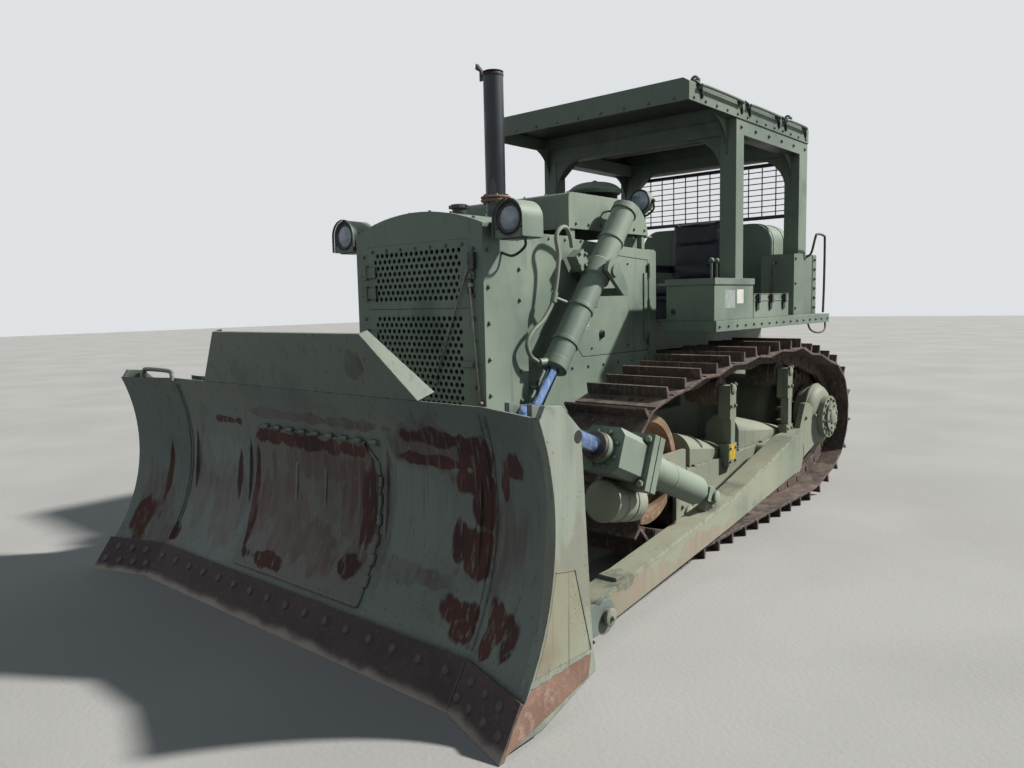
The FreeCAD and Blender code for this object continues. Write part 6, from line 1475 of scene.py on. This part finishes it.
def build_controls():
    """Blank gauges on the dash, boots and knobs on the levers, pads on the armrests."""
    dash = Piece()
    face = -1.5595
    dash.block(at(-0.34, face - 0.004, 1.76), at(0.34, face + 0.016, 1.975))
    for x in (-0.30, 0.30):
        for z in (1.785, 1.95):
            dash.bolt(at(x, face + 0.016, z), BACK, 0.006)
    dash.done("dash_panel", "black", bevel=0.003)
    bezels = Piece()
    dials = Piece()
    for x, z, r in ((-0.22, 1.875, 0.040), (-0.11, 1.875, 0.040), (0.0, 1.870, 0.052), (0.11, 1.875, 0.040),
                    (0.22, 1.875, 0.040)):
        spot = at(x, face + 0.0155, z)
        bezels.turned(spot,
                      BACK, [(0, r), (0.008, r), (0.011, r * 0.90), (0.006, r * 0.86), (0.004, r * 0.85)],
                      sides=28)
        dials.turned(spot + BACK * 0.001,
                     BACK, [(0, r * 0.87), (0.005, r * 0.86), (0.0055, r * 0.3), (0.0056, 0.002)],
                     sides=28)
        dials.bar(spot + BACK * 0.007, spot + BACK * 0.007 + Vector((r * 0.45, 0, r * 0.5)), 0.0012,
                  sides=6)
    bezels.done("gauge_bezels", "plastic")
    dials.done("blank_gauges", "gauge")
    boots = Piece()
    for y in (-0.440, -0.340, -0.240):
        boots.turned(at(0.390, y, 1.738), UP, [(0, 0.034), (0.008, 0.034), (0.012, 0.024), (0.018, 0.028),
                                               (0.022, 0.019),
                                              (0.028, 0.022), (0.036, 0.010)], sides=20)
    boots.turned(at(-0.200, -1.350, 1.308), UP, [(0, 0.044), (0.010, 0.044), (0.020, 0.030),
                                                 (0.028, 0.034), (0.040, 0.014)],
                 sides=20)
    boots.turned(at(-0.200, -1.350, 1.685), UP, [(0, 0.012), (0.006, 0.024), (0.022, 0.030),
                                                 (0.038, 0.024), (0.045, 0.004)],
                 sides=20)
    for x in (-0.115, 0.115):
        for k in range(5):
            boots.block(at(x - 0.05, -1.398 + 0.016 * k, 1.3595), at(x + 0.05, -1.390 + 0.016 * k, 1.3635))
    boots.done("lever_boots", "rubber", bevel=0.0008)
    for side, x in (("left", -0.31), ("right", 0.31)):
        pad = Piece()
        pad.block(at(x - 0.036, -0.335, 1.9285), at(x + 0.036, 0.155, 1.965))
        thing = pad.done(f"armrest_pad_{side}", "vinyl", bevel=0.014)
        thing.modifiers["rounded_edges"].segments = 5


# Seat


def cushion(name, node_name, rest_axis, rest_high, seams, swell):
    """A stuffed cushion: the CAD block, blown up as cloth that is held at its rest and along its seams."""
    low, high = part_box(node_name)
    inset = 0.012
    middle = (low + high) / 2
    mesh = bmesh.new()
    bmesh.ops.create_cube(mesh, size=1.0)
    size = high - low - Vector((2 * inset,) * 3)
    bmesh.ops.scale(mesh, verts=mesh.verts, vec=size)
    bmesh.ops.translate(mesh, verts=mesh.verts, vec=middle)
    bmesh.ops.bevel(mesh, geom=mesh.edges[:], offset=0.030, segments=3, profile=0.6, affect="EDGES")
    data = bpy.data.meshes.new(name)
    mesh.to_mesh(data)
    mesh.free()
    thing = bpy.data.objects.new(name, data)
    bpy.context.scene.collection.objects.link(thing)
    data.materials.append(looks["vinyl"])
    voxels = thing.modifiers.new("even_cloth", "REMESH")
    voxels.mode = "VOXEL"
    voxels.voxel_size = 0.0095
    apply_modifiers(thing)
    start = [v.co.copy() for v in thing.data.vertices]
    held = thing.vertex_groups.new(name="held")
    face = high[rest_axis] - inset if rest_high else low[rest_axis] + inset
    top = low if rest_high else high
    for vertex in thing.data.vertices:
        away = abs(vertex.co[rest_axis] - face)
        weight = 1.0 if away < 0.004 else 0.0
        if abs(vertex.co[rest_axis] - top[rest_axis]) < 0.035:
            for axis, place in seams:
                if abs(vertex.co[axis] - (middle[axis] + place)) < 0.0065:
                    weight = 1.0
        if weight:
            held.add([vertex.index], weight, "REPLACE")
    cloth = thing.modifiers.new("stuffing", "CLOTH")
    cloth.settings.quality = 4
    cloth.settings.mass = 0.3
    cloth.settings.tension_stiffness = 8
    cloth.settings.compression_stiffness = 8
    cloth.settings.bending_stiffness = 0.4
    cloth.settings.use_pressure = True
    cloth.settings.uniform_pressure_force = 4.0
    cloth.settings.vertex_group_mass = "held"
    cloth.settings.effector_weights.gravity = 0.0
    cloth.point_cache.frame_start = 1
    cloth.point_cache.frame_end = 20
    for number in range(1, 21):
        bpy.context.scene.frame_set(number)
    blown = thing.evaluated_get(bpy.context.evaluated_depsgraph_get())
    moved = [v.co.copy() for v in blown.data.vertices]
    thing.modifiers.clear()
    bpy.context.scene.frame_set(1)
    for vertex, before, after in zip(thing.data.vertices, start, moved):
        step = after - before
        if step.length > swell:
            step *= swell / step.length
        vertex.co = before + step
    thing.vertex_groups.clear()
    for vertex in thing.data.vertices:
        for axis in range(3):
            vertex.co[axis] = min(max(vertex.co[axis], low[axis] - 0.004), high[axis] + 0.004)
    for polygon in thing.data.polygons:
        polygon.use_smooth = True
    smooth = thing.modifiers.new("even_skin", "SUBSURF")
    smooth.levels = smooth.render_levels = 1
    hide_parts(node_name)
    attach(thing, "machine")
    return thing


def apply_modifiers(thing):
    shaped = thing.evaluated_get(bpy.context.evaluated_depsgraph_get())
    data = bpy.data.meshes.new_from_object(shaped)
    thing.modifiers.clear()
    thing.data = data


def build_seat():
    cushion("seat_cushion_cover", "seat_cushion", 2, False, ((0, -0.09), (0, 0.09)), 0.022)
    cushion("seat_back_cover", "seat_back", 1, True, ((2, -0.13), (2, 0.06)), 0.022)
    low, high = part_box("seat_cushion")
    rim = Piece()
    z = low.z + 0.048
    corner = 0.040
    for a, b in (((low.x, low.y), (high.x, high.y)),):
        path = []
        for cx, cy, turn in ((b[0] - corner, a[1] + corner, -90), (b[0] - corner, b[1] - corner, 0),
                             (a[0] + corner, b[1] - corner, 90), (a[0] + corner, a[1] + corner, 180)):
            for k in range(5):
                t = math.radians(turn + 90 * k / 4)
                path.append(Vector((cx + (corner - 0.004) * math.cos(t),
                                    cy + (corner - 0.004) * math.sin(t), z)))
        rim.tube(path + [path[0]], 0.006, sides=8)
    rim.done("seat_piping", "vinyl")
    frame_bolts = Piece()
    for x in (-0.20, 0.20):
        for z in (1.75, 2.20):
            frame_bolts.bolt_on("seat_frame", at(x, 0.5, z), AHEAD, 0.009)
    frame_bolts.done("seat_frame_bolts", "bolt")


def build_gaps():
    """Dark joints between the middle edge and the end bits."""
    slits = Piece()
    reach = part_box("cutting_edge")[1].x
    for side in (-1, 1):
        line = []
        for step in range(14):
            found = land("cutting_edge", at(side * (reach - 0.012), BEFORE_BLADE, 0.02 + 0.0125 * step),
                         BACK)
            if found:
                line.append(found[0] + Vector((side * 0.010, 0, 0)))
        slits.tube(line, 0.0045, sides=8)
    slits.done("edge_joints", "latch", "blade_assembly")
    hooks = Piece()
    for sign in (1, -1):
        for z in (0.980, 1.130):
            hooks.tube(smooth_line([at(sign * 0.505, -3.10, z), at(sign * 0.560, -3.10, z + 0.005),
                                    at(sign * 0.572, -3.07, z),
                                    at(sign * 0.572, -2.99, z), at(sign * 0.560, -2.96, z - 0.005),
                                    at(sign * 0.505, -2.96, z)], 5), 0.012, sides=10)
            hooks.block(at(sign * 0.508 - 0.004, -3.13, z - 0.035),
                        at(sign * 0.508 + 0.004, -3.07, z + 0.035))
            hooks.block(at(sign * 0.508 - 0.004, -2.99, z - 0.035),
                        at(sign * 0.508 + 0.004, -2.93, z + 0.035))
    hooks.done("hood_side_hooks", "body", bevel=0.001)


def end_front(z, sign):
    """Machine y just behind the front edge of an end plate, at height z."""
    for step in range(80):
        y = -4.80 + 0.01 * step
        for node_name in ("blade", "end_bits"):
            found = land(node_name, at(sign * BESIDE_BLADE, y, z), (-sign, 0, 0))
            if found and abs(found[0].x) > HALF_WIDTH - 0.01:
                return y + 0.010
    return -4.45


def build_blade_back():
    """Edge nuts, and the worn strips, rusty corners, weld beads and plugs of the end plates."""
    nuts = Piece()
    edge_low, edge_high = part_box("cutting_edge")
    for k in range(16):
        x = edge_low.x + (k + 0.5) * (edge_high.x - edge_low.x) / 16
        found = land("blade", at(x, -3.9, 0.125), AHEAD)
        if found:
            nuts.bolt(found[0], found[1], 0.018)
    nuts.done("edge_nuts", "bolt", "blade_assembly")
    ends = Piece()
    holes = Piece()
    strips = Piece()
    corners = Piece()
    for sign in (1, -1):
        out = Vector((sign, 0, 0))
        face = sign * (HALF_WIDTH + 0.0005)
        heights = [0.615, 0.54, 0.46, 0.38, 0.31, 0.24]
        strip = [(end_front(z, sign), z) for z in heights] + [(-4.215, 0.232), (-4.318, 0.593)]
        outline = [Vector((face, at(0, y, 0).y, z)) for y, z in strip]
        strips.plate(outline, 0.002)
        ends.tube([outline[0], outline[-1], outline[-2]], 0.0025, sides=6, wobble=0.5)
        rim = [(end_front(z, sign), z) for z in (0.212, 0.15, 0.10, 0.05, 0.015)]
        rim += [(-4.40, 0.012), (-4.30, 0.060), (-4.235, 0.120), (-4.212, 0.216)]
        outline = [Vector((face, at(0, y, 0).y, z)) for y, z in rim
                   if land("blade", at(sign * BESIDE_BLADE, y, z), -out) or land("end_bits",
                                                                                 at(sign * BESIDE_BLADE, y,
                                                                                    z), -out)]
        if len(outline) > 2:
            corners.plate(outline, 0.002)
            ends.tube([outline[0], outline[-1]], 0.0025, sides=6, wobble=0.3)
        found = land("blade", at(sign * BESIDE_BLADE, -4.285, 1.120), -out)
        if found:
            holes.turned(found[0] - out * 0.001,
                         out, [(0, 0.026), (0.002, 0.026), (0.0025, 0.020), (0.0015, 0.003)])
    strips.done("end_plate_strips", "strip", "blade_assembly", bevel=0.0015)
    corners.done("end_plate_corners", "corner", "blade_assembly", bevel=0.0015)
    ends.done("end_plate_welds", "blade", "blade_assembly")
    holes.done("end_plate_plugs", "plastic", "blade_assembly")


def run():
    build_camera()
    build_sun()
    build_sky()
    build_floor()
    build_blade_details()
    build_blade_back()
    build_gaps()
    build_guard_details()
    build_hydraulics()
    build_tracks()
    build_track_frames()
    build_wheels()
    build_braces()
    build_lamps()
    build_stack_details()
    build_hood_details()
    build_station()
    build_controls()
    build_seat()


run()
